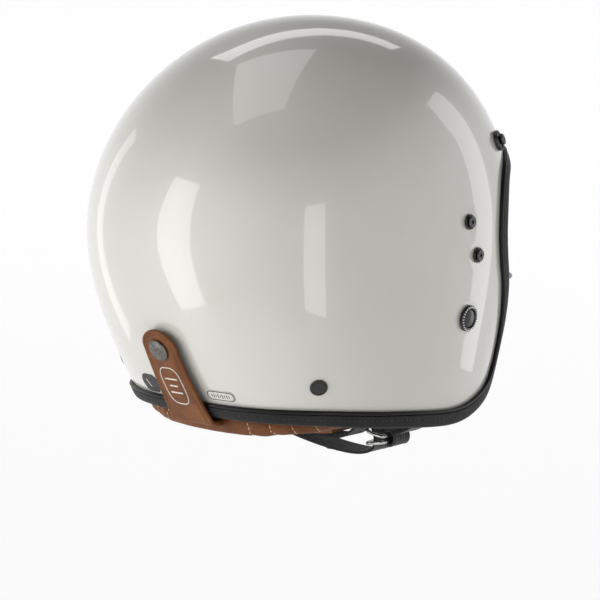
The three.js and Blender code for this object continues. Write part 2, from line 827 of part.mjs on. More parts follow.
// A D-shaped ring: a straight bar along Y, and a round bow towards the middle of the helmet.
function dRing(name, z, tilt) {
  const points = [];
  const half = 14.5;
  const steps = 10;
  for (let i = 0; i <= steps; i += 1) {
    const a = (i / steps) * Math.PI - Math.PI / 2;
    points.push(new THREE.Vector3(6 + 16 * Math.cos(a), half * Math.sin(a), 0));
  }
  points.push(new THREE.Vector3(0, half - 2.5, 0), new THREE.Vector3(0, 2.5 - half, 0));
  const path = new THREE.CatmullRomCurve3(points, true, "centripetal");
  const section = [];
  for (let i = 0; i < 6; i += 1) {
    const a = (i / 6) * 2 * Math.PI;
    section.push(new THREE.Vector2(FAR + 1.3 * Math.cos(a), 1.3 * Math.sin(a)));
  }
  const profile = [...section, section[0]];
  const count = 24;
  const geometry = moved(new THREE.LatheGeometry(profile, count), (v, i) => {
    const share = (Math.floor(i / profile.length) % count) / count;
    const point = profile[i % profile.length];
    const along = path.getTangentAt(share);
    const out = new THREE.Vector3(along.y, -along.x, 0);
    return path.getPointAt(share).addScaledVector(out, point.x - FAR).setZ(point.y);
  });
  geometry.rotateY(THREE.MathUtils.degToRad(tilt));
  return mesh(name, closed(geometry.translate(RING_LEFT, STRAP.y, z)), "steel");
}

function chinStrap() {
  const long = [
    [STRAP.x, STRAP.z + 11],
    [STRAP.x - 2, STRAP.z - 6],
    [STRAP.x - 14, STRAP.z - 20],
    [46, -148],
    [10, -155],
    [-22, -157],
    [-39, -153.5],
    [-43.5, -146],
    [-40.5, -136.8],
    [-33, -134.4],
    [-25.5, -139.5],
    [-12, -147.5],
    [12, -150],
  ];
  const short = [
    [-STRAP.x, STRAP.z + 11],
    [2 - STRAP.x, STRAP.z - 6],
    [9 - STRAP.x, STRAP.z - 16],
    [RING_LEFT - 8.6, RING_Z + 4.6],
  ];
  const loop = [];
  for (let i = 0; i < 16; i += 1) {
    const a = (i / 16) * 2 * Math.PI;
    loop.push([RING_LEFT + 5.6 * Math.cos(a), RING_Z + 6.2 * Math.sin(a)]);
  }
  const hole = loop.map(([x, z]) => [
    RING_LEFT + (x - RING_LEFT) * 0.7,
    RING_Z + (z - RING_Z) * 0.74,
  ]);
  const wide = STRAP.width - 5;
  const around = solid(webbingOutline(loop, wide)).subtract(solid(webbingOutline(hole, wide + 6)));
  const shortStrap = solid(roundEnd(webbing(short, STRAP.thick, STRAP.width)));
  const pad = [
    [57, -136.8],
    [42, -143.4],
    [14, -146.3],
    [-6, -144.2],
  ];
  const keeper = turned([[0, 0], [5, 0], [5, 1.2], [3.6, 2], [0, 2]], 16);
  const snapButton = mesh("strap_snap", keeper, "gloss_black");
  snapButton.position.set(4, STRAP.y, -157.9);
  snapButton.rotation.y = Math.PI + 0.05;
  const group = new THREE.Group();
  group.add(
    mesh("strap_long", roundEnd(webbing(long, STRAP.thick, STRAP.width)), "webbing"),
    mesh("strap_short", geometryOf(shortStrap), "webbing"),
    mesh("ring_loop", geometryOf(around), "webbing"),
    dRing("d_ring_upper", RING_Z + 1.9, -6),
    dRing("d_ring_lower", RING_Z - 1.9, 12),
    mesh("chin_pad", webbing(pad, 3, STRAP.width + 3), "tan_leather"),
    snapButton,
  );
  return group;
}

function webbingOutline(outline, width) {
  return bar(outline, 1, (share, x, z) => {
    return new THREE.Vector3(x, STRAP.y + (share - 0.5) * width, z);
  });
}

// ---------------------------------------------------------------- the helmet

const helmet = new THREE.Group();
helmet.add(
  shell(),
  edgeTrim(),
  edgeBead(),
  ...foamParts(),
  ...comfortParts(),
  ...cheekPads(),
  neckRoll(),
  ...snaps(),
  ...rivetCaps(),
  ...rearPlugs(),
  label("size_label", 33, -96.5, 9, 6, "decal"),
  label("weight_label", -30.5, -97.5, 10.5, 3.2, "pale_decal"),
  tabPost(),
  goggleTab(),
  sunVisor(),
  ...visorPins(),
  visorLever(),
  leverTrack(),
  ...strapAnchors(),
  chinStrap(),
);

export default helmet;
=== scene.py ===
"""An open face motorcycle helmet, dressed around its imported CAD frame.

Lengths are millimetres in the helmet's own frame, and metres once a mesh is made. The face
opening looks along -Y, the wearer's right-hand side is -X and +Z is up.
"""

import math

import bmesh
import bpy
import numpy as np
from mathutils import Matrix, Quaternion, Vector
from mathutils.bvhtree import BVHTree


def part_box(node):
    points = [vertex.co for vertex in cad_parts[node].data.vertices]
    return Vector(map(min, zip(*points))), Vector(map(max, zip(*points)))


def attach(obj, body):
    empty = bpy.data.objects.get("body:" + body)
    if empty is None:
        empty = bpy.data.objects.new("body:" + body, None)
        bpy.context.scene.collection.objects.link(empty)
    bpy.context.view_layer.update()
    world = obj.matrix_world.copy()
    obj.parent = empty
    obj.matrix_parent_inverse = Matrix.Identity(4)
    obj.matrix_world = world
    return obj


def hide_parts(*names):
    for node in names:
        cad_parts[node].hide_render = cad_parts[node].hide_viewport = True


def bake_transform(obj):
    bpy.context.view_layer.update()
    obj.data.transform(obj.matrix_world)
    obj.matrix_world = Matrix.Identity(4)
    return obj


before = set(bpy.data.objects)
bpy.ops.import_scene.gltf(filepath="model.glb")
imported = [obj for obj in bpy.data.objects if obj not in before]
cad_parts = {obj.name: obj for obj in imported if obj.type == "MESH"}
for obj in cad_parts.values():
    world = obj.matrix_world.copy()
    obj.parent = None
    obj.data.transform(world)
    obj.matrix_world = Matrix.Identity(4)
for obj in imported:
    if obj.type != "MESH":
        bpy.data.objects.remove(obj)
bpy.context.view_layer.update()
MM = 0.001

# ---------------- driving dimensions

HALF_WIDTH = 126.5
REAR = 150.6
FRONT = 131.7
CROWN = 142.9
SQUARENESS = 2.56
TUCK_DEPTH = 110
FULLNESS = (-0.016, 0.271, -0.1)  # front, side, rear
FLARE = (0.124, 0.04, 0.086)
SHELL_THICK = 4
FOAM_OUT = 4.8
FOAM_IN = 33
PAD_IN = 42
PAD_BACK = FOAM_IN + 0.8
PAD_DEPTH = PAD_IN - FOAM_IN - 1.2
QUILT_PITCH = 27
CHEEK_TOP_Z = -50
NECK_TOP_Z = -91
EDGE_POINTS = [
    (-150, 57.5), (-118, 57), (-98, 55.5), (-79, 50.5), (-63, 41), (-54, 25), (-50, 2),
    (-53, -18), (-62, -40), (-69.5, -66), (-70, -86), (-61, -100), (-41, -109),
    (-12, -113.5), (40, -109), (95, -104.5), (150, -105),
]
SHELL_PAST_EDGE = 3.5
SHEET_FLOOR = -128  # below everything that is cut from the dome
STATIONS = 640  # steps round the shell's edge

TAB_Z = -66.4
TAB_RADIUS = 14.5
TAB_FOOT_Z = -114.5
TAB_GAP = 3.6
TAB_ARC_Z = TAB_Z + 1  # where the round top end starts
TAB_TOP = 0.76  # the height of that end as a share of its radius
TAB_FLARE = 4
FOLD_IN = 12
FOLD_DOWN = 1.6
LEATHER = 2.6

VISOR_Z = 4
VISOR_RADIUS = 122
VISOR_REACH = 115
VISOR_POWER = 2.4
VISOR_THICK = 2.2
VISOR_ANGLES = (21.5, 55)
VISOR_HUB = 14.6
VISOR_TRAVEL = 36
LEVER_Z = -16
LEVER_DEPTH = 12.2
LEVER_ROOT = 2
LEVER_DROOP = 0.5

STRAP_Y = -30
STRAP_WIDTH = 22
STRAP_THICK = 1.9
RING_LEFT = -54
RING_Z = -143
RING_GAP = 1.9  # each ring's distance from the level between them

SNAPS = {  # place in side view (y, z), None being mid-brow, then washer radius and stud height
    "brow_snap_right": ((-62.6, 59), 7, 5.2),
    "brow_snap_left": ((-62.6, 59), 7, 5.2),
    "brow_snap_centre": (None, 7, 5.2),
    "side_snap_upper_right": ((-11.1, 8.7), 5, 2.9),
    "side_snap_upper_left": ((-11.1, 8.7), 5, 2.9),
    "side_snap_lower_right": ((-20.9, -13), 5, 2.9),
    "side_snap_lower_left": ((-20.9, -13), 5, 2.9),
}
BROW_CENTRE_Z = 74
RIVET = (-15.1, -53.4)
PLUG = (90.7, -88.6)
ON_SHELL = 0.35  # small fittings stand this far off the paint
DISH_DEPTH = 0.25
SNAP_DISH = 6.9
RIVET_DISH = 10.2

# ---------------- the shell's surface


def around(sine, values):
    front, side, rear = values
    return side + (rear - front) / 2 * sine + ((rear + front) / 2 - side) * sine * sine


def shell_point(angle, z):
    """Points on the shell's outer face: angle 0 is +X and a quarter turn is the nape."""
    angle, z = np.broadcast_arrays(np.asarray(angle, float), np.asarray(z, float))
    c, s = np.cos(angle), np.sin(angle)
    t = np.clip(z / CROWN, -1, 1)
    length = (REAR + FRONT) / 2 + (REAR - FRONT) / 2 * s
    power = 2 + (SQUARENESS - 2) * np.where(z > 0, 1 - t * t, 1)
    plan = (np.abs(c) / HALF_WIDTH) ** power + (np.abs(s) / length) ** power
    full = around(s, FULLNESS)
    flare = around(s, FLARE) * (np.maximum(-z, 0) / TUCK_DEPTH) ** 3
    above = np.sqrt(1 - t * t) * (1 + full * t * t)
    below = 1 - (0.5 - full) * t * t + flare
    r = plan ** (-1 / power) * np.where(z >= 0, above, below)
    return np.stack([r * c, r * s, z], -1)


def unit(vectors):
    return vectors / np.maximum(np.linalg.norm(vectors, axis=-1, keepdims=True), 1e-12)


def shell_normal(angle, z):
    z = np.minimum(z, CROWN - 0.5)
    across = shell_point(np.add(angle, 0.001), z) - shell_point(np.subtract(angle, 0.001), z)
    up = shell_point(angle, z + 0.05) - shell_point(angle, z - 0.05)
    return unit(np.cross(across, up))


def at_depth(angle, z, depth):
    """Points below the shell's outer face, or outside it where depth is negative."""
    depth = np.broadcast_to(np.asarray(depth, float), np.shape(angle))
    return shell_point(angle, z) - shell_normal(angle, z) * depth[..., None]


def angle_where(axis, value, z, low, high):
    """The angle between low and high at which the shell's x or y has a value at level z."""
    value, z = np.broadcast_arrays(np.asarray(value, float), np.asarray(z, float))
    low = np.full(value.shape, float(low))
    high = np.full(value.shape, float(high))
    rising = shell_point(high, z)[..., axis] > shell_point(low, z)[..., axis]
    for _ in range(42):
        middle = (low + high) / 2
        beyond = (shell_point(middle, z)[..., axis] > value) == rising
        high = np.where(beyond, middle, high)
        low = np.where(beyond, low, middle)
    return (low + high) / 2


def left_side(y, z):
    return angle_where(1, y, z, -math.pi / 2, math.pi / 2)


def nape(x, z):
    return angle_where(0, x, z, 0, math.pi)


def full_turn(count):
    """Evenly spaced angles round a whole turn."""
    return np.arange(count) / count * 2 * math.pi


def squared(wave, power):
    """A sine or cosine whose curve nears a square's as the power falls below 1."""
    return np.sign(wave) * np.abs(wave) ** power


def spline(points, per_span, closed=False):
    """A uniform Catmull-Rom curve through points."""
    p = np.asarray(points, float)
    ends = (p[-1:], p[:2]) if closed else (p[:1], p[-1:])
    p = np.concatenate([ends[0], p, ends[1]])
    t = (np.arange(per_span) / per_span)[:, None]
    spans = []
    for a, b, c, d in zip(p[:-3], p[1:-2], p[2:-1], p[3:]):
        ease = ((2 * a - 5 * b + 4 * c - d) * t + (3 * b - a - 3 * c + d) * t * t) * t
        spans.append(b + ((c - a) * t + ease) / 2)
    if not closed:
        spans.append(p[-2][None])
    return np.concatenate(spans)


def resample(points, count, closed=False):
    """Points the same distance apart along a line."""
    p = np.concatenate([points, points[:1]]) if closed else np.asarray(points)
    run = np.concatenate([[0], np.cumsum(np.linalg.norm(np.diff(p, axis=0), axis=1))])
    at = np.linspace(0, run[-1], count + 1)[:-1] if closed else np.linspace(0, run[-1], count)
    return np.stack([np.interp(at, run, p[:, k]) for k in range(p.shape[1])], 1)


def directions(line, closed=False):
    """Unit directions along a line, at each of its points."""
    if closed:
        return unit(np.roll(line, -1, axis=0) - np.roll(line, 1, axis=0))
    return unit(np.gradient(line, axis=0))


def left_of(run):
    """Directions in a plane, each turned a quarter turn to the left."""
    return np.stack([-run[:, 1], run[:, 0]], 1)


def rounded(points, radius, steps, closed=True):
    """A line of straight stretches with its corners made round."""
    p = np.asarray(points, float)
    made = []
    for i, corner in enumerate(p):
        if not closed and i in (0, len(p) - 1):
            made.append(corner[None])
            continue
        before, after = p[i - 1] - corner, p[(i + 1) % len(p)] - corner
        reach = min(radius, np.linalg.norm(before) * 0.45, np.linalg.norm(after) * 0.45)
        a, b = corner + unit(before) * reach, corner + unit(after) * reach
        t = np.linspace(0, 1, steps + 1)[:, None]
        made.append((1 - t) ** 2 * a + 2 * t * (1 - t) * corner + t * t * b)
    return np.concatenate(made)


EDGE_LINE = spline(EDGE_POINTS, 24)
EDGE_BEYOND = -left_of(directions(EDGE_LINE))


def inside_edge(points, past):
    """How far points lie on the shell's side of its edge line, moved past it by a distance."""
    flat = points[:, 1:]
    value = np.empty(len(flat))
    for start in range(0, len(flat), 4000):
        part = flat[start : start + 4000]
        gap = part[:, None, :] - EDGE_LINE[None]
        nearest = np.argmin((gap**2).sum(-1), axis=1)
        rows = np.arange(len(part))
        value[start : start + 4000] = -(gap[rows, nearest] * EDGE_BEYOND[nearest]).sum(-1)
    return value + past


def edge_half():
    """The edge from the middle of the brow, round the left-hand side, to the nape."""
    line = EDGE_LINE
    front = shell_point(-math.pi / 2, line[:, 1])[:, 1]
    rear = shell_point(math.pi / 2, line[:, 1])[:, 1]
    inner = line[(line[:, 0] > front + 1) & (line[:, 0] < rear - 1)]
    angles = left_side(inner[:, 0], inner[:, 1])
    side = shell_point(angles, inner[:, 1])
    middle = len(line) // 2

    def toward(end_angle, first, part):
        run = np.linspace(end_angle, first, 14)[:-1]
        z = np.full(run.shape, part[0, 1])
        for _ in range(6):
            z = np.interp(shell_point(run, z)[:, 1], part[:, 0], part[:, 1])
        return shell_point(run, z)

    brow = toward(-math.pi / 2, angles[0], line[: middle // 3])
    back = toward(math.pi / 2, angles[-1], line[-middle // 2 :])[::-1]
    return np.concatenate([brow, side, back])


def edge_loop():
    half = edge_half()
    mirrored = (half * [-1, 1, 1])[::-1][1:-1]
    return resample(np.concatenate([half, mirrored]), STATIONS, closed=True)


EDGE = edge_loop()
EDGE_OUT = shell_normal(np.arctan2(EDGE[:, 1], EDGE[:, 0]), EDGE[:, 2])
EDGE_RUN = directions(EDGE, closed=True)
EDGE_PAST = unit(np.cross(EDGE_RUN, EDGE_OUT))


# ---------------- meshes


def make_mesh(name, points, faces, look, smooth=50, merge=0.0, uvs=None):
    """A mesh from points in millimetres. smooth is the angle in degrees past which edges stay sharp."""
    data = bpy.data.meshes.new(name)
    data.from_pydata((np.asarray(points).reshape(-1, 3) * MM).tolist(), [], faces)
    if uvs is not None:
        layer = data.uv_layers.new(name="along")
        flat = np.asarray(uvs, float).reshape(-1, 2)
        corners = np.empty(len(data.loops), int)
        data.loops.foreach_get("vertex_index", corners)
        layer.data.foreach_set("uv", flat[corners].ravel())
    build = bmesh.new()
    build.from_mesh(data)
    if merge:
        bmesh.ops.remove_doubles(build, verts=build.verts, dist=merge * MM)
    bmesh.ops.dissolve_degenerate(build, edges=build.edges, dist=1e-7)
    if uvs is None:
        bmesh.ops.recalc_face_normals(build, faces=build.faces)
    build.to_mesh(data)
    build.free()
    data.shade_smooth()
    data.set_sharp_from_angle(angle=math.radians(smooth))
    made = bpy.data.objects.new(name, data)
    bpy.context.scene.collection.objects.link(made)
    data.materials.append(look)
    return made


def grid_faces(rows, columns, wrap_rows, wrap_columns):
    i = np.arange(rows if wrap_rows else rows - 1)[:, None]
    j = np.arange(columns if wrap_columns else columns - 1)[None, :]
    a = i * columns + j
    b = i * columns + (j + 1) % columns
    c = ((i + 1) % rows) * columns + (j + 1) % columns
    d = ((i + 1) % rows) * columns + j
    return np.stack([a, b, c, d], -1).reshape(-1, 4).tolist()


def tube_faces(rows, columns, wrap_rows=False):
    """Faces round a tube, with flat ends unless it closes on itself."""
    faces = grid_faces(rows, columns, wrap_rows, True)
    if not wrap_rows:
        faces.append(list(range(columns))[::-1])
        faces.append([(rows - 1) * columns + j for j in range(columns)])
    return faces


def loft(name, points, look, wrap_rows=False, merge=0.01, smooth=50, uvs=None):
    """A tube through rows of points, each row a closed section."""
    points = np.asarray(points)
    faces = tube_faces(*points.shape[:2], wrap_rows)
    return make_mesh(name, points, faces, look, smooth, merge, uvs)


def joined(name, pieces):
    """Several meshes made into one object."""
    bpy.ops.object.select_all(action="DESELECT")
    for piece in pieces:
        piece.select_set(True)
    bpy.context.view_layer.objects.active = pieces[0]
    bpy.ops.object.join()
    pieces[0].name = name
    pieces[0].data.name = name
    return pieces[0]


def mirrored(piece, name):
    """A copy of a piece on the other side of the helmet."""
    twin = piece.copy()
    twin.data = piece.data.copy()
    twin.name = name
    twin.data.transform(Matrix.Scale(-1, 4, (1, 0, 0)))
    twin.data.flip_normals()
    bpy.context.scene.collection.objects.link(twin)
    return twin


def place(piece, body, slot, *nodes):
    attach(piece, body)
    if nodes:
        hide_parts(*nodes)
    return piece


class Spot:
    """A place on the shell, with a frame of its own that points straight out of it."""

    def __init__(self, angle, z, lift=ON_SHELL):
        self.out = shell_normal(angle, z)
        self.side = unit(np.cross([0, 0, 1], self.out))
        self.up = np.cross(self.out, self.side)
        self.origin = shell_point(angle, z) + self.out * lift

    def points(self, local):
        local = np.asarray(local, float)
        return self.origin + local @ np.array([self.side, self.up, self.out])


def turned_points(profile, segments):
    """Rings of points for a profile of radius and height, standing along +Z."""
    turn = full_turn(segments)
    profile = np.asarray(profile, float)
    r, h = profile[:, 0][:, None], profile[:, 1][:, None]
    return np.stack([r * np.cos(turn), r * np.sin(turn), h + 0 * turn], -1)


def turned(name, spot, profile, look, segments=56, closed=False):
    points = spot.points(turned_points(profile, segments))
    faces = grid_faces(len(points), segments, closed, True)
    return make_mesh(name, points, faces, look, smooth=40, merge=0.001)


def fitting(name, spot, profile, look, body, slot, node, radius=0.2, closed=False):
    """A turned piece with softened corners, placed on a body."""
    made = turned(name, spot, rounded(profile, radius, 3, closed=closed), look, closed=closed)
    place(made, body, slot, node)


def bead_ring(spot, count, radius, height, bead, segments, look, stretch=None):
    """Small raised beads in a ring round a spot: round ones, or with their length and width
    stretched, the length along the ring's radius."""
    beads = []
    for k, turn in enumerate(full_turn(count)):
        c, s = math.cos(turn), math.sin(turn)
        points = turned_points(bead, segments)
        if stretch:
            points = points * [*stretch, 1] @ np.array([[c, s, 0], [-s, c, 0], [0, 0, 1]])
        points = points + [radius * c, radius * s, height]
        faces = grid_faces(len(bead), segments, False, True)
        beads.append(make_mesh(f"bead{k}", spot.points(points), faces, look, 80, 0.001))
    return beads


def side_spot(where, name):
    """A spot on one side of the shell: the wearer's left if the name ends so."""
    angle = left_side(*where)
    return Spot(angle if name.endswith("left") else math.pi - angle, where[1])


def stitches(name, centres, along, out, look, length=2.5, radius=0.3):
    """Short raised threads lying on a surface, each dipping in at its ends."""
    sides, rings = 7, 7
    turn = full_turn(sides)
    reach = np.linspace(-1, 1, rings)
    width = radius * np.sqrt(np.clip(1 - 0.96 * reach**2, 0, 1))
    a = (reach * length / 2)[:, None] + 0 * turn
    b = width[:, None] * np.cos(turn)
    c = width[:, None] * np.sin(turn) - (0.55 * radius * reach**2)[:, None]
    local = np.stack([a, b, c], -1).reshape(-1, 3)
    along, out = unit(np.asarray(along)), unit(np.asarray(out))
    across = np.cross(out, along)
    basis = np.stack([along, across, out], 1)
    points = np.asarray(centres)[:, None, :] + np.einsum("pk,nkd->npd", local, basis)
    single = tube_faces(rings, sides)
    step = rings * sides
    faces = [[v + k * step for v in face] for k in range(len(points)) for face in single]
    return make_mesh(name, points, faces, look, smooth=80)


# ---------------- materials


def linear(red, green, blue):
    """A colour seen on a screen, as the linear colour that a shader takes."""
    values = [c / 255 for c in (red, green, blue)]
    return tuple(v / 12.92 if v <= 0.04045 else ((v + 0.055) / 1.055) ** 2.4 for v in values) + (1,)


class Look:
    """A material with helpers for its procedural nodes."""

    def __init__(self, name, roughness, metallic=0.0, **sockets):
        self.material = bpy.data.materials.new(name)
        self.material.use_nodes = True
        self.nodes = self.material.node_tree.nodes
        self.links = self.material.node_tree.links
        self.shader = self.nodes["Principled BSDF"]
        self.set(**{"Roughness": roughness, "Metallic": metallic})
        self.set(**{key.replace("_", " "): value for key, value in sockets.items()})
        self.where = self.nodes.new("ShaderNodeTexCoord")
        self.height = None

    def set(self, **sockets):
        for key, value in sockets.items():
            self.shader.inputs[key].default_value = value

    def node(self, kind, **values):
        """A new node, with settings and input values given by name."""
        made = self.nodes.new(kind)
        for key, value in values.items():
            if hasattr(made, key):
                setattr(made, key, value)
            else:
                made.inputs[key.replace("_", " ")].default_value = value
        return made

    def noise(self, size, detail=3, roughness=0.5):
        """Noise whose blotches are about size millimetres across."""
        scale = 1 / (size * MM)
        made = self.node("ShaderNodeTexNoise", Scale=scale, Detail=detail, Roughness=roughness)
        self.links.new(self.where.outputs["Object"], made.inputs["Vector"])
        return made.outputs["Fac"]

    def cells(self, size):
        made = self.node("ShaderNodeTexVoronoi", Scale=1 / (size * MM))
        self.links.new(self.where.outputs["Object"], made.inputs["Vector"])
        return made.outputs["Distance"]

    def ramp(self, value, stops):
        made = self.nodes.new("ShaderNodeValToRGB")
        ramp = made.color_ramp
        while len(ramp.elements) < len(stops):
            ramp.elements.new(0.5)
        for element, (at, colour) in zip(ramp.elements, stops):
            element.position = at
            element.color = colour
        self.links.new(value, made.inputs["Fac"])
        return made.outputs["Color"]

    def colour(self, value, stops):
        self.links.new(self.ramp(value, stops), self.shader.inputs["Base Color"])

    def rough(self, value, low, high):
        made = self.node("ShaderNodeMapRange", To_Min=low, To_Max=high)
        self.links.new(value, made.inputs["Value"])
        self.links.new(made.outputs["Result"], self.shader.inputs["Roughness"])

    def maths(self, operation, a, b):
        made = self.node("ShaderNodeMath", operation=operation)
        for socket, value in zip(made.inputs, (a, b)):
            if isinstance(value, (int, float)):
                socket.default_value = value
            else:
                self.links.new(value, socket)
        return made.outputs["Value"]

    def bump(self, value, height, strength=1.0, coat=False):
        """Adds relief of a height in millimetres."""
        made = self.node("ShaderNodeBump")
        made.inputs["Distance"].default_value = height * MM
        made.inputs["Strength"].default_value = strength
        self.links.new(value, made.inputs["Height"])
        if self.height is not None:
            self.links.new(self.height, made.inputs["Normal"])
        self.height = made.outputs["Normal"]
        self.links.new(self.height, self.shader.inputs["Normal"])
        if coat:
            self.links.new(self.height, self.shader.inputs["Coat Normal"])


def shell_paint():
    look = Look("gloss_paint", 0.28, Coat_Weight=1.0, Coat_Roughness=0.025, Coat_IOR=1.55)
    look.colour(look.noise(70, 2), [(0.3, linear(172, 170, 164)), (0.7, linear(177, 175, 169))])
    look.rough(look.noise(9, 3), 0.27, 0.3)
    look.bump(look.noise(4.5, 1), 0.003, 0.2, coat=True)
    return look.material


def leather(name, dark, base, light, grain, roughness, relief=1.0):
    look = Look(name, roughness, Specular_IOR_Level=0.26)
    blotch = look.maths("ADD", look.noise(16, 4), look.maths("MULTIPLY", look.noise(1.6, 3), 0.35))
    look.colour(blotch, [(0.38, dark), (0.66, base), (0.95, light)])
    look.rough(look.noise(3.2, 4), roughness - 0.1, roughness + 0.12)
    look.bump(look.noise(7, 3), 0.22 * relief, 0.5)
    look.bump(look.cells(grain), 0.16 * relief, 0.55)
    look.bump(look.noise(grain * 0.4, 2), 0.06 * relief, 0.5)
    return look.material


def gloss_black():
    look = Look("gloss_black_plastic", 0.2, Coat_Weight=0.1, Coat_Roughness=0.1)
    look.colour(look.noise(6), [(0.35, linear(6, 6, 7)), (0.7, linear(13, 13, 14))])
    look.rough(look.noise(2.5, 4), 0.14, 0.3)
    look.bump(look.noise(1.2, 2), 0.02, 0.3)
    return look.material


def piping_vinyl():
    look = Look("piping_vinyl", 0.34, Specular_IOR_Level=0.22)
    look.colour(look.noise(5), [(0.35, linear(6, 6, 6)), (0.7, linear(13, 13, 13))])
    look.rough(look.noise(1.6, 3), 0.3, 0.46)
    look.bump(look.noise(0.9, 2), 0.03, 0.4)
    return look.material


def moulded_plastic(name, dark, light, roughness):
    look = Look(name, roughness)
    look.colour(look.noise(5), [(0.3, dark), (0.75, light)])
    look.rough(look.noise(1.4, 4), roughness - 0.1, roughness + 0.1)
    look.bump(look.noise(0.5, 2), 0.03, 0.6)
    return look.material


def bead_foam():
    look = Look("bead_foam", 0.85, Specular_IOR_Level=0.3)
    cells = look.cells(3.4)
    # painted shade: each bead is lighter at its middle and darker towards its seams, the same places the
    # bump below sinks in
    look.colour(cells, [(0.1, linear(47, 47, 50)), (0.55, linear(30, 30, 32)), (0.8, linear(16, 16, 17))])
    look.bump(cells, -0.55, 0.9)
    look.bump(look.noise(0.6, 3), 0.06, 0.5)
    return look.material


def lining_fabric():
    look = Look("brushed_lining", 0.95, Specular_IOR_Level=0.2)
    look.set(**{"Sheen Weight": 0.6, "Sheen Roughness": 0.45, "Sheen Tint": linear(120, 100, 86)})
    look.colour(look.noise(2.2, 5, 0.65), [(0.3, linear(52, 42, 35)), (0.75, linear(82, 66, 54))])
    look.bump(look.noise(14, 3), 0.3, 0.4)
    look.bump(look.noise(0.55, 4, 0.7), 0.18, 0.8)
    return look.material


def aged_metal(name, dark, light, low, high):
    look = Look(name, 0.35, 1.0)
    look.colour(look.noise(1.8, 5, 0.6), [(0.3, dark), (0.75, light)])
    look.rough(look.noise(1.1, 4), low, high)
    look.bump(look.noise(0.45, 3), 0.03, 0.5)
    return look.material


def flat_ink(name, dark, light, roughness):
    look = Look(name, roughness)
    look.colour(look.noise(1.6, 4), [(0.3, dark), (0.75, light)])
    look.rough(look.noise(0.8, 3), roughness - 0.08, roughness + 0.1)
    look.bump(look.noise(0.35, 2), 0.015, 0.5)
    return look.material


def woven_webbing():
    """Ribbed webbing: its first texture axis runs across it, and its second along it."""
    look = Look("woven_webbing", 0.8, Specular_IOR_Level=0.35)
    look.set(**{"Sheen Weight": 0.25, "Sheen Roughness": 0.4})
    look.where = look.nodes.new("ShaderNodeUVMap")
    ribs = look.node("ShaderNodeTexWave", wave_type="BANDS", bands_direction="X")
    picks = look.node("ShaderNodeTexWave", wave_type="BANDS", bands_direction="DIAGONAL")
    for wave, scale in ((ribs, 0.17), (picks, 0.32)):
        wave.inputs["Scale"].default_value = scale
        look.links.new(look.where.outputs["UV"], wave.inputs["Vector"])
    weave = look.maths("MULTIPLY", ribs.outputs["Fac"], look.maths("ADD", picks.outputs["Fac"], 0.6))
    # painted shade: the weave is coloured darker in its hollows and lighter on its raised ribs, following
    # the same bands as the bump below
    look.colour(weave, [(0.1, linear(12, 12, 13)), (0.6, linear(26, 26, 28)), (1.0, linear(44, 44, 46))])
    look.bump(weave, 0.28, 0.9)
    return look.material


def thread(name, dark, light):
    look = Look(name, 0.6)
    look.set(**{"Sheen Weight": 0.3, "Sheen Roughness": 0.3})
    look.colour(look.noise(0.7, 4), [(0.3, dark), (0.75, light)])
    look.bump(look.noise(0.25, 3), 0.05, 0.8)
    return look.material


def smoked_lens():
    look = Look("smoked_lens", 0.05, IOR=1.5, Alpha=0.45)
    look.colour(look.noise(60), [(0.3, linear(30, 27, 23)), (0.7, linear(36, 32, 27))])
    look.rough(look.noise(12), 0.04, 0.07)
    look.bump(look.noise(30, 1), 0.02, 0.1)
    return look.material


PAINT = shell_paint()
BLACK_LEATHER = leather(
    "black_trim_leather", linear(9, 9, 9), linear(14, 14, 14), linear(24, 24, 23), 0.8, 0.56, 0.5
)
TAN_LEATHER = leather(
    "tan_leather", linear(75, 41, 19), linear(93, 53, 25), linear(111, 69, 36), 0.9, 0.58
)
GLOSS_BLACK = gloss_black()
PIPING = piping_vinyl()
BLACK_PLASTIC = moulded_plastic("moulded_black", linear(9, 9, 10), linear(19, 19, 20), 0.5)
GREY_PLASTIC = moulded_plastic("moulded_grey", linear(118, 118, 116), linear(142, 142, 139), 0.42)
FOAM = bead_foam()
LINING = lining_fabric()
GUNMETAL = aged_metal("gunmetal", linear(52, 53, 54), linear(96, 97, 98), 0.22, 0.5)
NICKEL = aged_metal("antique_nickel", linear(82, 81, 78), linear(122, 121, 116), 0.26, 0.46)
# near-white nickel for the knurl beads on the strap's rivet bezel: real metal beads, made paler than
# nickel as a painted glint
GLINT_METAL = aged_metal("glint_nickel", linear(188, 187, 184), linear(236, 235, 232), 0.2, 0.34)
STEEL = aged_metal("plated_steel", linear(150, 150, 148), linear(196, 196, 194), 0.14, 0.34)
DARK_INK = flat_ink("dark_label", linear(15, 15, 16), linear(27, 28, 29), 0.5)
PALE_INK = flat_ink("pale_label", linear(168, 167, 162), linear(184, 183, 178), 0.35)
SILVER_INK = flat_ink("silver_print", linear(176, 168, 158), linear(210, 204, 195), 0.45)
WEBBING = woven_webbing()
BLACK_THREAD = thread("black_thread", linear(8, 8, 8), linear(26, 26, 26))
TAN_THREAD = thread("pale_thread", linear(196, 160, 122), linear(226, 196, 160))
LENS = smoked_lens()

# ---------------- camera, floor and lights

TARGET = Vector((4.4, 4.0, -50.3)) * MM
CAMERA = Vector((-688.2, 771.7, 73.9)) * MM
LENS_LENGTH = 90.74  # on a sensor 36 mm wide
FLOOR_Z = -1.15
FLOOR_GLOW = 0.6
WORLD_LIGHT = 0.11
LIGHT_DISTANCE = 1.9


def grey(level):
    return (level, level, level, 1)


def make_camera():
    data = bpy.data.cameras.new("camera")
    data.lens = LENS_LENGTH
    data.sensor_width = 36
    camera = bpy.data.objects.new("camera", data)
    bpy.context.scene.collection.objects.link(camera)
    camera.location = CAMERA
    camera.rotation_mode = "QUATERNION"
    camera.rotation_quaternion = (TARGET - CAMERA).to_track_quat("-Z", "Y")
    bpy.context.scene.camera = camera


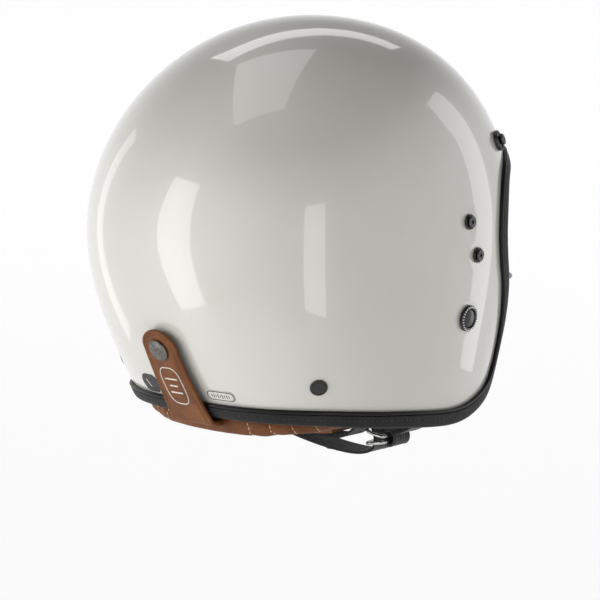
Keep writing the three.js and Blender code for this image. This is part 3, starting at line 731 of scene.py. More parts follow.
def studio_floor():
    """A round pale floor that sweeps up into a wall all the way round."""
    flat, sweep, wall, fade_from = 1800, 1200, 4500, 1500
    look = Look("pale_floor", 0.9)
    level = look.node("ShaderNodeSeparateXYZ")
    look.links.new(look.where.outputs["Object"], level.inputs["Vector"])
    low, high = FLOOR_Z + fade_from * MM, FLOOR_Z + wall * MM
    fade = look.node("ShaderNodeMapRange", interpolation_type="SMOOTHSTEP", From_Min=low, From_Max=high)
    look.links.new(level.outputs["Z"], fade.inputs["Value"])
    look.colour(fade.outputs["Result"], [(0.0, linear(178, 178, 178)), (1.0, linear(20, 20, 20))])
    glow = look.ramp(fade.outputs["Result"], [(0.0, grey(FLOOR_GLOW)), (1.0, grey(WORLD_LIGHT))])
    look.links.new(glow, look.shader.inputs["Emission Color"])
    look.set(**{"Emission Strength": 1.0})
    profile = [(0, 0), (600, 0), (flat, 0)]
    for step in range(1, 13):
        turn = step / 12 * math.pi / 2
        profile.append((flat + sweep * math.sin(turn), sweep * (1 - math.cos(turn))))
    profile.append((flat + sweep, wall))
    points = turned_points(profile, 96) + [0, 0, FLOOR_Z / MM]
    faces = grid_faces(len(profile), 96, False, True)
    floor = make_mesh("studio_floor", points, faces, look.material, smooth=80, merge=0.001)
    floor.data.flip_normals()


def softbox(name, azimuth, elevation, width, height, radiance, lean=0, mirrored_in=True):
    """A rectangular light seen from the helmet in a direction, with its size in degrees.
    Azimuth 0 is straight ahead of the face opening, and 90 is the wearer's left. The lean
    tips the rectangle over on its own plane."""
    a, e = math.radians(azimuth), math.radians(elevation)
    toward = Vector((math.sin(a) * math.cos(e), -math.cos(a) * math.cos(e), math.sin(e)))
    data = bpy.data.lights.new(name, "AREA")
    data.shape = "RECTANGLE"
    data.size = 2 * LIGHT_DISTANCE * math.tan(math.radians(width / 2))
    data.size_y = 2 * LIGHT_DISTANCE * math.tan(math.radians(height / 2))
    data.energy = radiance * math.pi * data.size * data.size_y
    light = bpy.data.objects.new(name, data)
    bpy.context.scene.collection.objects.link(light)
    light.location = toward * LIGHT_DISTANCE
    light.rotation_mode = "QUATERNION"
    tipped = Quaternion((0, 0, 1), math.radians(lean))
    light.rotation_quaternion = toward.to_track_quat("Z", "Y") @ tipped
    light.visible_camera = False
    light.visible_glossy = mirrored_in


def make_lights():
    softbox("tall_box", 149, -4, 19, 60, 2.4)
    softbox("rim_strip", 101, 0, 9, 58, 1.0)
    softbox("low_strip", -114.5, -8, 14, 46, 1.9)
    softbox("side_strip", -29, 7, 12, 54, 1.35, lean=5)
    softbox("top_box", 42, 52, 46, 9, 1.9)
    softbox("overhead", 120, 74, 40, 26, 1.1)
    softbox("key", 163, 2, 50, 50, 2.2, mirrored_in=False)
    world = bpy.data.worlds.new("studio")
    world.use_nodes = True
    background = world.node_tree.nodes["Background"]
    background.inputs["Color"].default_value = (1, 0.995, 0.985, 1)
    background.inputs["Strength"].default_value = WORLD_LIGHT
    bpy.context.scene.world = world
    bpy.context.scene.view_settings.view_transform = "Standard"


make_camera()
studio_floor()
make_lights()

# ---------------- sheets cut from the dome


class Sheet:
    """Part of the dome, as a fine mesh over angle and level, kept where a field is positive."""

    def __init__(self, field, columns=340, upper=76, lower=64):
        upper_levels = CROWN * np.cos(np.arange(1, upper + 1) / upper * math.pi / 2)
        levels = np.concatenate([upper_levels, np.arange(1, lower + 1) / lower * SHEET_FLOOR])
        turn = full_turn(columns) - math.pi / 2
        angle = np.concatenate([[0], np.tile(turn, len(levels))])
        level = np.concatenate([[CROWN - 1e-6], np.repeat(levels, columns)])
        value = field(angle, level)
        ring = [[0, 1 + j, 1 + (j + 1) % columns] for j in range(columns)]
        rows = np.array(grid_faces(len(levels), columns, False, True)) + 1
        self.angle, self.level = list(angle), list(level)
        self.value = value
        self.cuts = {}
        self.faces = []
        for face in ring + rows.tolist():
            keep = [value[v] > 0 for v in face]
            if all(keep):
                self.faces.append(face)
            elif any(keep):
                self.faces.append(self.clipped(face, keep))
        self.tidy()

    def clipped(self, face, keep):
        made = []
        for k, v in enumerate(face):
            after = (k + 1) % len(face)
            if keep[k]:
                made.append(v)
            if keep[k] != keep[after]:
                made.append(self.cut(v, face[after]))
        return made

    def cut(self, a, b):
        key = (min(a, b), max(a, b))
        if key not in self.cuts:
            share = self.value[a] / (self.value[a] - self.value[b])
            turn = (self.angle[b] - self.angle[a] + math.pi) % (2 * math.pi) - math.pi
            if a == 0 or b == 0:
                turn = 0
            base = self.angle[b] if a == 0 else self.angle[a]
            self.angle.append(base + turn * share)
            self.level.append(self.level[a] + (self.level[b] - self.level[a]) * share)
            self.cuts[key] = len(self.angle) - 1
        return self.cuts[key]

    def tidy(self):
        """Drops unused points, and lists the edges that only one face has."""
        used = sorted({v for face in self.faces for v in face})
        number = {v: i for i, v in enumerate(used)}
        self.faces = [[number[v] for v in face] for face in self.faces]
        self.angle = np.array(self.angle)[used]
        self.level = np.array(self.level)[used]
        single = {}
        for face in self.faces:
            for a, b in zip(face, face[1:] + face[:1]):
                if (b, a) in single:
                    del single[(b, a)]
                else:
                    single[(a, b)] = True
        self.rim = list(single)

    def slab(self, name, outer, inner, look, smooth=50):
        """A closed body between two depths below the shell's outer face."""
        top = at_depth(self.angle, self.level, outer)
        bottom = at_depth(self.angle, self.level, inner)
        count = len(self.angle)
        faces = list(self.faces)
        faces += [[v + count for v in face[::-1]] for face in self.faces]
        faces += [[b, a, a + count, b + count] for a, b in self.rim]
        return make_mesh(name, np.concatenate([top, bottom]), faces, look, smooth)


def dish(angle, level):
    """How far the paint dips round the side snaps and the strap's rivet."""
    points = shell_point(angle, level)
    depth = np.zeros(len(points))
    dishes = [(SNAPS[f"side_snap_{row}_left"][0], SNAP_DISH) for row in ("upper", "lower")]
    for (y, z), radius in dishes + [(RIVET, RIVET_DISH)]:
        spot = shell_point(left_side(y, z), z)
        for side in (1, -1):
            away = np.linalg.norm(points - spot * [side, 1, 1], axis=1) / radius
            depth = np.maximum(depth, DISH_DEPTH * np.clip(1 - away**6, 0, 1))
    return depth


def outer_shell():
    sheet = Sheet(lambda a, z: inside_edge(shell_point(a, z), SHELL_PAST_EDGE))
    dip = dish(sheet.angle, sheet.level)
    shell = sheet.slab("painted_shell", dip, SHELL_THICK, PAINT, smooth=60)
    place(shell, "helmet", "shell_paint", "shell")


# ---------------- trim along the edge


def round_the_edge(name, section, look, smooth=50):
    section = np.asarray(section, float)
    out = section[None, :, 0, None] * EDGE_OUT[:, None, :]
    past = section[None, :, 1, None] * EDGE_PAST[:, None, :]
    return loft(name, EDGE[:, None, :] + out + past, look, wrap_rows=True, merge=0, smooth=smooth)


STITCH_PAST = 4.3


def leather_trim():
    outside = [
        (1.1, 1.3), (2.5, 1.35), (2.8, 2.6), (2.75, 3.7), (2.4, STITCH_PAST), (2.75, 4.9),
        (2.8, 6.2), (2.6, 8.9), (1.0, 10.5), (-4.8, 10.6), (-7.4, 9.2), (-7.5, 0.7),
        (-5.6, 0.7), (-5.6, 8.3), (1.0, 8.3),
    ]
    trim = round_the_edge("leather_trim", rounded(outside, 0.9, 3), BLACK_LEATHER)
    place(trim, "helmet", "black_leather", "edge_trim")
    pitch = 3.7
    length = np.linalg.norm(np.roll(EDGE, -1, axis=0) - EDGE, axis=1).sum()
    at = (np.arange(int(length / pitch)) * pitch / length * STATIONS).astype(int)
    centres = EDGE[at] + EDGE_OUT[at] * 2.62 + EDGE_PAST[at] * STITCH_PAST
    sewn = stitches("trim_stitches", centres, EDGE_RUN[at], EDGE_OUT[at], BLACK_THREAD, 2.8, 0.36)
    place(sewn, "helmet", "black_leather")


def trim_piping():
    turn = full_turn(14)
    section = np.stack([1.55 + 1.25 * np.cos(turn), -0.05 + 1.25 * np.sin(turn)], 1)
    piping = round_the_edge("trim_piping", section, PIPING, smooth=80)
    place(piping, "helmet", "gloss_black", "edge_bead")


# ---------------- snaps, rivets, plugs and labels


def snap_spot(name):
    where = SNAPS[name][0]
    if where is None:
        return Spot(-math.pi / 2, BROW_CENTRE_Z)
    return side_spot(where, name)


def snap(name):
    spot = snap_spot(name)
    flange, height = SNAPS[name][1:]
    stud = [
        (0, 0.02), (2.9, 0.02), (2.9, 0.4), (3.4, 0.55), (3.8, 0.67), (3.85, 0.82), (3.6, 0.94),
        (2.9, 0.99), (2.4, 0.95), (2.1, 0.98), (1.5, 1.0), (1.1, 0.95), (1.1, 0.3), (0, 0.3),
    ]
    stud = [(radius, height * level) for radius, level in stud]
    fitting(name + "_post", spot, stud, GUNMETAL, "helmet", "snap_metal", name + "_stud", 0.25)
    wall = 0.45 * height
    washer = [(3.1, 0.05), (flange, 0.05), (flange, 0.6 * wall), (flange - 0.3, wall)]
    washer += [(flange - 0.65, wall), (flange - 0.85, 0.6 * wall), (3.1, 0.3 * wall)]
    ring = name + "_ring"
    fitting(name + "_washer", spot, washer, GLOSS_BLACK, "helmet", "gloss_black", ring, closed=True)


def rivet_cap(side):
    """The strap's rivet: a notched bezel with bright beads on it, round a low dome. The beads are real
    relief, and their near-white metal is a painted glint.
    """
    spot = side_spot(RIVET, side)
    bezel = [(6.15, 0), (8.6, 0), (8.6, 1.3), (8.25, 2.0), (7.6, 2.2), (6.6, 2.15), (6.15, 1.7)]
    points = turned_points(rounded(bezel, 0.3, 3), 144)
    notch = 0.5 + 0.5 * np.cos(36 * full_turn(144))
    on_top = np.exp(-((np.hypot(points[..., 0], points[..., 1]) - 7.5) / 0.62) ** 2)
    points[..., 2] -= 0.42 * notch * on_top * (points[..., 2] > 1.5)
    faces = grid_faces(len(points), 144, True, True)
    ring = make_mesh("strap_bezel_" + side, spot.points(points), faces, GLOSS_BLACK, 50, 0.001)
    bead = [(0.55, 0), (0.46, 0.3), (0.22, 0.5), (0, 0.54)]
    # the knurl beads are real relief; their near-white colour is a painted glint
    knurl = bead_ring(spot, 26, 7.55, 1.95, bead, 8, GLINT_METAL, (1.3, 0.85))
    place(joined("strap_bezel_knurl_" + side, knurl), "helmet", "gloss_black")
    place(ring, "helmet", "gloss_black", "rivet_bezel_" + side)
    rise = np.linspace(0, math.pi / 2, 12)[1:]
    dome = [(0, 0.05), (5.9, 0.05), (5.9, 1.2)]
    dome += [(5.85 * math.cos(turn), 1.2 + 1.4 * math.sin(turn)) for turn in rise]
    cap = turned("strap_cap_" + side, spot, dome, GLOSS_BLACK, 64)
    place(cap, "helmet", "gloss_black", "rivet_cap_" + side)


def rear_plug(side):
    profile = [(0, 0), (5.5, 0), (5.5, 0.5), (5.1, 0.95), (4.5, 1.0), (4.2, 0.72), (3.9, 1.05)]
    profile += [(3.0, 1.3), (1.5, 1.47), (0, 1.5)]
    name, node = "shell_plug_" + side, "rear_plug_" + side
    fitting(name, side_spot(PLUG, side), profile, BLACK_PLASTIC, "helmet", "black_plastic", node)


def stadium(half_length, half_height):
    """An outline with straight sides and half-round ends."""
    turn = full_turn(64)
    straight = np.sign(np.cos(turn)) * (half_length - half_height)
    return np.stack([np.cos(turn) * half_height + straight, np.sin(turn) * half_height], 1)


def on_nape(x, z, lift):
    """Points on the rear of the shell, found by x and level, and lifted off the paint."""
    return at_depth(nape(x, z), z, -np.broadcast_to(lift, np.shape(x)))


def sticker(name, x, z, outline, look, slot, low, high, node):
    """A thin film with a rounded border, lying on the rear of the shell."""
    shrink = [1, 1.0, 0.985, 0.95, 0.6, 0.2, 0.0]
    lift = [low, high * 0.6 + low * 0.4, high, high, high, high, high]
    rows = [on_nape(x + outline[:, 0] * s, z + outline[:, 1] * s, h) for s, h in zip(shrink, lift)]
    faces = grid_faces(len(rows), len(outline), False, True)
    faces.append(list(range(len(outline)))[::-1])
    film = make_mesh(name, np.array(rows), faces, look, 40, 0.001)
    place(film, "helmet", slot, node)


def drawn_line(name, surface, path, width, low, high, look, closed=True):
    """A thin raised line drawn along a path on a surface."""
    side = left_of(directions(path, closed))
    section = [(-1, low), (-0.9, high), (0, high * 1.15), (0.9, high), (1, low)]
    rows = []
    for across, lift in section:
        at = path + side * across * width / 2
        rows.append(surface(at[:, 0], at[:, 1], lift))
    return loft(name, np.stack(rows, 1), look, wrap_rows=closed, merge=0, smooth=60)


def labels():
    size, weight = (33, -96.5), (-30.5, -97.5)
    sticker("size_sticker", *size, stadium(9, 6), DARK_INK, "dark_decal", 0.3, 0.6, "size_label")
    ends = np.linspace([3.4, 2.6], [0.2, -2.6], 8) + size
    line = drawn_line("size_sticker_bar", on_nape, ends, 0.8, 0.55, 0.68, PALE_INK, closed=False)
    place(line, "helmet", "pale_decal")
    outline = stadium(10.5, 3.2)
    sticker("weight_sticker", *weight, outline, PALE_INK, "pale_decal", 0.3, 0.55, "weight_label")
    border = stadium(10.0, 2.75) + weight
    line = drawn_line("weight_sticker_border", on_nape, border, 0.6, 0.5, 0.62, DARK_INK)
    place(line, "helmet", "dark_decal")
    bars = []
    for k in range(9):
        x = weight[0] + (k - 4) * 1.65
        reach = 1.35 if k % 2 else 0.85
        ends = np.linspace([x, weight[1] - reach], [x, weight[1] + reach], 4)
        bars.append(drawn_line(f"bar{k}", on_nape, ends, 0.55, 0.5, 0.62, DARK_INK, closed=False))
    place(joined("weight_sticker_scale", bars), "helmet", "dark_decal")


# ---------------- goggle tab


def tab_half_width(z):
    share = np.clip((TAB_ARC_Z - z) / (TAB_ARC_Z - TAB_FOOT_Z), 0, 1)
    return TAB_RADIUS + TAB_FLARE * share**1.6


def on_tab(x, z, out):
    return on_nape(x, z, TAB_GAP + np.asarray(out, float))


TAB_SECTION = [  # distance in from the edge, and height of the outer face above the inner one
    (0.0, 1.3), (0.06, 1.95), (0.3, 2.4), (0.75, 2.58), (1.5, 2.6), (1.9, 2.56), (2.15, 2.15),
    (2.4, 2.56), (3.1, 2.62), (3.5, 2.56), (3.75, 2.2), (4.0, 2.56), (4.8, 2.6), (7.0, 2.68),
]
TAB_BACK = [(7.0, 0.0), (2.0, 0.0), (0.6, 0.04), (0.15, 0.35)]


def tab_rows():
    """Rows of points from the foot up, each point as x, level and height off the inner face."""
    rows = [(z, None) for z in np.linspace(TAB_FOOT_Z, TAB_ARC_Z, 44)]
    rows += [(TAB_ARC_Z, turn) for turn in np.linspace(0, math.pi / 2, 22)[1:]]
    made = []
    for level, turn in rows:
        row = []
        sides = [(1, TAB_SECTION), (-1, TAB_SECTION[::-1]), (-1, TAB_BACK[::-1]), (1, TAB_BACK)]
        for side, section in sides:
            for inset, out in section:
                if turn is None:
                    x = tab_half_width(level) - inset
                    row.append((side * x, level, out))
                else:
                    reach = TAB_RADIUS - inset
                    rise = TAB_TOP * reach * math.sin(turn)
                    row.append((side * reach * math.cos(turn), level + rise, out))
        made.append(row)
    return np.array(made)


def goggle_tab():
    """The leather tab, with its foot folded in under the trim."""
    rows = tab_rows()
    points = on_tab(rows[..., 0], rows[..., 1], rows[..., 2])
    foot = points[0]
    inward = unit(foot * [-1, -1, 0])
    fold = []
    for turn in np.linspace(math.pi / 2, 0, 10)[:-1]:
        level = foot + inward * FOLD_IN * (1 - math.cos(turn))
        thick = rows[0, :, 2] - LEATHER / 2
        down = FOLD_DOWN * math.sin(turn) + thick * math.sin(turn) * 0.9
        inset = inward * (thick * (1 - math.cos(turn)))[:, None]
        fold.append(level + inset - np.array([0, 0, 1]) * down[:, None])
    points = np.concatenate([fold, points])
    tab = loft("leather_tab", points, TAN_LEATHER, merge=0.02, smooth=60)
    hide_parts("goggle_tab")
    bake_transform(tab)


def tab_print():
    """A plain printed frame with three bars on the tab."""
    centre_z, tall, wide = -90.5, 12.2, 8.6
    turn = full_turn(96)
    x = wide * squared(np.cos(turn), 0.625)
    z = centre_z + tall * squared(np.sin(turn), 0.625)
    low, high = LEATHER - 0.05, LEATHER + 0.12
    lines = [drawn_line("frame", on_tab, np.stack([x, z], 1), 0.75, low, high, SILVER_INK)]
    for k, reach in enumerate((5.2, 3.6, 5.2)):
        level = centre_z + 4.6 - 4.6 * k
        path = np.linspace([-reach, level], [reach, level], 12)
        lines.append(drawn_line(f"bar{k}", on_tab, path, 1.1, low, high, SILVER_INK, closed=False))
    place(joined("tab_print", lines), "goggle_tab", "pale_decal")


def tab_button():
    spot = Spot(math.pi / 2, TAB_Z, TAB_GAP + LEATHER + 0.4)
    profile = [(0, 0), (7.2, 0), (7.5, 0.35), (7.45, 1.0), (7.0, 1.3), (6.4, 1.25), (6.2, 1.42)]
    profile += [(5.0, 1.75), (3.9, 1.95), (3.6, 1.8), (3.3, 2.0), (1.6, 2.15), (0, 2.2)]
    dome = turned("button_dome", spot, rounded(profile, 0.3, 3, closed=False), NICKEL, 72)
    bead = [(0.36, 0), (0.34, 0.14), (0.2, 0.3), (0, 0.36)]
    petal = [(0.85, 0), (0.75, 0.22), (0.4, 0.42), (0, 0.48)]
    beads = bead_ring(spot, 30, 6.75, 1.12, bead, 8, NICKEL)
    beads += bead_ring(spot, 6, 2.05, 1.95, petal, 12, NICKEL, (1.9, 0.75))
    place(joined("snap_button", [dome] + beads), "goggle_tab", "antique_nickel", "tab_button")


def tab_snap():
    """The socket under the tab's cap, and the post on the shell that it presses onto."""
    spot = Spot(math.pi / 2, TAB_Z, 0)
    ring = [(3.9, 1.5), (6, 1.5), (6, 2.7), (5.6, 3.1), (4.4, 3.1), (3.9, 2.7)]
    slot = "antique_nickel"
    fitting("snap_socket", spot, ring, NICKEL, "goggle_tab", slot, "tab_socket", 0.3, closed=True)
    post = [(0, 0), (5.6, 0), (5.6, 0.5), (5.2, 0.75), (3.4, 0.9), (3.2, 1.3), (3.35, 2.2)]
    post += [(2.8, 2.7), (0, 2.7)]
    fitting("snap_post", Spot(math.pi / 2, TAB_Z), post, NICKEL, "helmet", slot, "tab_post")


# ---------------- impact liner and quilted lining


def smooth_least(a, b, width):
    """The lesser of two fields, rounded where they cross."""
    h = np.clip(0.5 + 0.5 * (b - a) / width, 0, 1)
    return b * (1 - h) + a * h - width * h * (1 - h)


def visor_pocket_depth(angle, level):
    """How deep the impact liner is cut back to let the sun visor swing."""
    base = shell_point(angle, level)
    normal = shell_normal(angle, level)
    low = np.full(len(base), float(FOAM_OUT))
    high = np.full(len(base), float(FOAM_IN - 6))
    for _ in range(24):
        middle = (low + high) / 2
        p = base - normal * middle[:, None]
        across = np.abs(p[:, 0]) / (VISOR_REACH - 9)
        round_it = np.hypot(p[:, 1], p[:, 2] - VISOR_Z) / (VISOR_RADIUS - 6)
        outside = across**VISOR_POWER + round_it**VISOR_POWER > 1
        low = np.where(outside, middle, low)
        high = np.where(outside, high, middle)
    turn = np.degrees(np.arctan2(base[:, 2] - VISOR_Z, -base[:, 1]))
    first = VISOR_ANGLES[0] - VISOR_TRAVEL - 3
    last = VISOR_ANGLES[1] + 3
    share = np.clip(np.minimum(turn - first, last - turn) / 2 + 0.5, 0, 1)
    return FOAM_OUT + (low - FOAM_OUT) * share


def liner_region(angle, level):
    """The liner stops above the cheek foam in front, and runs down to the neck behind."""
    points = shell_point(angle, level)
    edge = inside_edge(points, -6)
    above_cheeks = np.where(points[:, 1] < 30, level - CHEEK_TOP_Z, 60)
    above_neck = np.where(points[:, 1] > 14, level - NECK_TOP_Z, 60)
    low_cheek = np.maximum(level - CHEEK_TOP_Z, points[:, 1] - 45)
    return np.minimum(np.minimum(edge, low_cheek), np.maximum(above_neck, above_cheeks - 60))


def impact_liner():
    sheet = Sheet(liner_region, columns=220, upper=50, lower=40)
    depth = visor_pocket_depth(sheet.angle, sheet.level)
    foam = sheet.slab("bead_foam_liner", depth, FOAM_IN, FOAM, smooth=40)
    place(foam, "helmet", "liner_foam", "impact_liner")


def pad_surface(name, region, puff, node, columns=260):
    """A quilted pad on the inside of the liner: full between its seams, thin along them."""
    sheet = Sheet(region, columns=columns, upper=60, lower=50)
    border = np.clip(region(sheet.angle, sheet.level) / 7, 0, 1)
    swell = np.sqrt(np.clip(1 - (1 - border) ** 2, 0, 1))
    u, v = quilt_axes(sheet.angle, sheet.level)
    ridge = np.abs(np.sin(math.pi * u / QUILT_PITCH)) * np.abs(np.sin(math.pi * v / QUILT_PITCH))
    pillow = 1 - puff * (1 - ridge**0.5)
    inner = PAD_BACK + PAD_DEPTH * swell * pillow
    pad = sheet.slab(name, PAD_BACK, inner, LINING, smooth=70)
    place(pad, "helmet", "lining_fabric", node)


def quilt_axes(angle, level):
    """Distances over the dome in two crossing diagonal directions."""
    from_top = np.arccos(np.clip(level / CROWN, -1, 1)) * (CROWN - PAD_IN)
    x, y = from_top * np.cos(angle), from_top * np.sin(angle)
    return (x + y) / math.sqrt(2), (x - y) / math.sqrt(2)


def quilt_stitches(name, region, reach):
    """Threads along the seams of a quilted pad."""
    centres, along, out = [], [], []
    radius = CROWN - PAD_IN
    for axis in (0, 1):
        for k in range(-reach, reach + 1):
            t = np.arange(-190, 190, 3.6)
            u = np.full(t.shape, k * QUILT_PITCH)
            a, b = (u, t) if axis == 0 else (t, u)
            x, y = (a + b) / math.sqrt(2), (a - b) / math.sqrt(2)
            far = np.hypot(x, y)
            angle = np.arctan2(y, x)
            level = CROWN * np.cos(np.clip(far / radius, 0, 3.1))
            keep = (region(angle, level) > 4) & (far > 4) & (far < radius * 1.7)
            points = at_depth(angle, level, PAD_BACK + PAD_DEPTH * 0.56)
            run = np.gradient(points, axis=0)
            centres.append(points[keep])
            along.append(run[keep])
            out.append(-shell_normal(angle, level)[keep])
    lists = [np.concatenate(found) for found in (centres, along, out)]
    place(stitches(name, *lists, TAN_THREAD, 2.4, 0.3), "helmet", "lining_fabric")


def inner_y(angle, level):
    return at_depth(angle, level, FOAM_IN)[:, 1]


def crown_region(angle, level):
    """The top of the dome, and below level 86 only behind the brow pad."""
    edge = inside_edge(shell_point(angle, level), -8)
    back = np.where(level < 86, inner_y(angle, level) + 54, 40)
    return smooth_least(np.minimum(edge, back), level - 36, 3)


def brow_region(angle, level):
    """A strip across the front, above the face opening."""
    return smooth_least(smooth_least(level - 60, 83 - level, 3), -57 - inner_y(angle, level), 3)


def band_region(angle, level):
    """A strip round the sides and the back of the head."""
    edge = inside_edge(shell_point(angle, level), -5)
    sides = smooth_least(level + 9, 32 - level, 3)
    return smooth_least(smooth_least(sides, inner_y(angle, level) + 45, 3), edge, 3)


def comfort_lining():
    pad_surface("quilted_crown", crown_region, 0.42, "crown_pad")
    quilt_stitches("crown_stitches", crown_region, 6)
    pad_surface("brow_cushion", brow_region, 0.0, "brow_pad", columns=420)
    pad_surface("headband", band_region, 0.3, "headband_pad", columns=420)


# ---------------- cloth pads


def smoothed(piece, rounds):
    modifier = piece.modifiers.new("soften", "SMOOTH")
    modifier.iterations = rounds
    apply_modifiers(piece)


def apply_modifiers(piece):
    bpy.context.view_layer.update()
    data = bpy.data.meshes.new_from_object(piece.evaluated_get(bpy.context.evaluated_depsgraph_get()))
    piece.modifiers.clear()
    piece.data = data


def vertex_values(piece, key):
    flat = np.empty(len(piece.data.vertices) * 3, np.float32)
    piece.data.vertices.foreach_get(key, flat)
    return flat.reshape(-1, 3).astype(float)


def coordinates(piece):
    return vertex_values(piece, "co")


def normals(piece):
    return vertex_values(piece, "normal")


def set_coordinates(piece, points):
    piece.data.vertices.foreach_set("co", np.asarray(points, np.float32).ravel())
    piece.data.update()


CLOTH_PRESSURE = 5
CLOTH_FRAMES = 14


def inflate(piece, cap):
    """Swells a closed mesh as stuffed cloth, moving no point further than cap millimetres."""
    rest = coordinates(piece)
    cloth = piece.modifiers.new("cloth", "CLOTH")
    cloth.settings.quality = 4
    cloth.settings.mass = 0.3
    cloth.settings.use_pressure = True
    cloth.settings.uniform_pressure_force = CLOTH_PRESSURE
    cloth.settings.tension_stiffness = cloth.settings.compression_stiffness = 12
    cloth.settings.bending_stiffness = 0.4
    cloth.settings.effector_weights.gravity = 0
    cloth.collision_settings.use_collision = False
    cloth.collision_settings.use_self_collision = False
    cloth.point_cache.frame_start = 1
    cloth.point_cache.frame_end = CLOTH_FRAMES
    for number in range(1, CLOTH_FRAMES + 1):
        bpy.context.scene.frame_set(number)
    apply_modifiers(piece)
    bpy.context.scene.frame_set(1)
    moved = coordinates(piece) - rest
    size = np.linalg.norm(moved, axis=1, keepdims=True)
    moved *= np.minimum(1, cap * MM / np.maximum(size, 1e-9))
    set_coordinates(piece, rest + moved)


def cushion(name, node, look, shrink, voxel, cap):
    """A stuffed piece made from the plain solid of a CAD node."""
    piece = bpy.data.objects.new(name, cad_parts[node].data.copy())
    bpy.context.scene.collection.objects.link(piece)
    piece.data.materials.clear()
    remesh = piece.modifiers.new("remesh", "REMESH")
    remesh.mode = "VOXEL"
    remesh.voxel_size = voxel * MM
    apply_modifiers(piece)
    smoothed(piece, 3)
    set_coordinates(piece, coordinates(piece) - normals(piece) * shrink * MM)
    inflate(piece, cap)
    smoothed(piece, 2)
    piece.modifiers.new("finer", "SUBSURF").levels = 1
    apply_modifiers(piece)
    piece.data.materials.clear()
    piece.data.materials.append(look)
    piece.data.shade_smooth()
    return piece


def press_line(piece, path, width, depth):
    """Presses a sewn groove into a piece along a path in millimetres."""
    points = coordinates(piece) / MM
    path = resample(np.asarray(path, float), 160)
    nearest = np.full(len(points), 1e9)
    for start in range(0, len(path), 40):
        gap = np.linalg.norm(points[:, None] - path[None, start : start + 40], axis=2)
        nearest = np.minimum(nearest, gap.min(1))
    dip = depth * np.exp(-((nearest / width) ** 2))
    set_coordinates(piece, (points - normals(piece) * dip[:, None]) * MM)


def on_surface(piece, points, toward):
    """Where lines in given directions first meet a piece, from 40 mm before each point, and the
    piece's normals there."""
    tree = BVHTree.FromObject(piece, bpy.context.evaluated_depsgraph_get())
    found, out = [], []
    for point, direction in zip(points, unit(np.asarray(toward, float))):
        start = Vector(point * MM) - Vector(direction) * 40 * MM
        hit, normal, _, _ = tree.ray_cast(start, Vector(direction))
        if hit is not None:
            found.append(np.array(hit) / MM)
            out.append(np.array(normal))
    return np.array(found), np.array(out)


def sewn_line(name, piece, path, toward, groove, pitch=3.8, length=2.6, radius=0.32):
    """A pressed seam with stitches in it, laid where a path meets a piece. The groove has a
    width and a depth."""
    line, out = on_surface(piece, path, toward)
    press_line(piece, line, *groove)
    count = max(int(np.linalg.norm(np.diff(line, axis=0), axis=1).sum() / pitch), 2)
    even = resample(np.concatenate([line, out], 1), count)
    sink = even[:, :3] - unit(even[:, 3:]) * (groove[1] * 0.75)
    return stitches(name, sink, np.gradient(sink, axis=0), even[:, 3:], TAN_THREAD, length, radius)


ROLL_SEAMS = (0.414, 0.431, 0.447, 0.464, 0.536, 0.553, 0.569, 0.586)  # shares of the edge
ROLL_SEAM_LEAN = 0.007


def neck_roll():
    roll = cushion("leather_neck_roll", "neck_roll", TAN_LEATHER, 0.4, 3.4, 2.2)
    threads = []
    up = np.array([0, 0, 1])
    for turn in ROLL_SEAMS:
        lean = ROLL_SEAM_LEAN * (1 if turn > 0.5 else -1)
        path, toward = [], []
        for share in np.linspace(0, 1, 26):
            i = int(round((turn + lean * (share - 0.5) * 2) * STATIONS)) % STATIONS
            level = unit(EDGE_OUT[i] * [1, 1, 0])
            sweep = math.radians(-30 + 125 * share)
            path.append(EDGE[i] - level * 22 - up * 8)
            toward.append(-(level * math.cos(sweep) - up * math.sin(sweep)))
        size = {"groove": (1.3, 0.5), "pitch": 2.9, "length": 2.3, "radius": 0.24}
        threads.append(sewn_line(f"seam{turn}", roll, np.array(path), toward, **size))
    place(roll, "helmet", "tan_leather", "neck_roll")
    place(joined("neck_roll_stitches", threads), "helmet", "tan_leather")


def cheek_cushions():
    pad = cushion("cheek_cushion_left", "cheek_pad_left", TAN_LEATHER, 1.6, 4.2, 4.0)
    low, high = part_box("cheek_pad_left")
    low, high = np.array(low) / MM, np.array(high) / MM
    middle = (low + high) / 2
    reach = (high - low) / 2 - 13
    turn = np.linspace(0, 2 * math.pi, 150)
    y = middle[1] + reach[1] * squared(np.cos(turn), 2 / 3)
    z = middle[2] + reach[2] * squared(np.sin(turn), 2 / 3)
    path = np.stack([np.full(turn.shape, middle[0] - 20), y, z], 1)
    toward = np.tile([1.0, 0, 0], (len(turn), 1))
    seam = sewn_line("cheek_stitches_left", pad, path, toward, (2.0, 1.4))
    twin = mirrored(pad, "cheek_cushion_right")
    seam_twin = mirrored(seam, "cheek_stitches_right")
    for piece, threads, side in ((pad, seam, "left"), (twin, seam_twin, "right")):
        place(piece, "helmet", "tan_leather", "cheek_pad_" + side)
        place(threads, "helmet", "tan_leather")


def nape_cushion():
    pad = cushion("nape_cushion", "nape_pad", LINING, 1.4, 4.4, 3.5)
    place(pad, "helmet", "lining_fabric", "nape_pad")


# ---------------- sun visor and its lever


def visor_surface(depth):
    """Rows of points across the visor at a depth below its outer face."""
    radius, reach = VISOR_RADIUS - depth, VISOR_REACH - depth
    turn = np.linspace(-1, 1, 161) * math.pi / 2
    x = reach * squared(np.sin(turn), 2 / VISOR_POWER)
    r = radius * squared(np.cos(turn), 2 / VISOR_POWER)
    keep = r > VISOR_HUB - depth * 0.2
    x, r = x[keep], r[keep]
    first, last = (math.radians(a) for a in VISOR_ANGLES)
    a = np.linspace(first, last, 26)[:, None]
    return np.stack([x + 0 * a, -r * np.cos(a), VISOR_Z + r * np.sin(a)], -1)


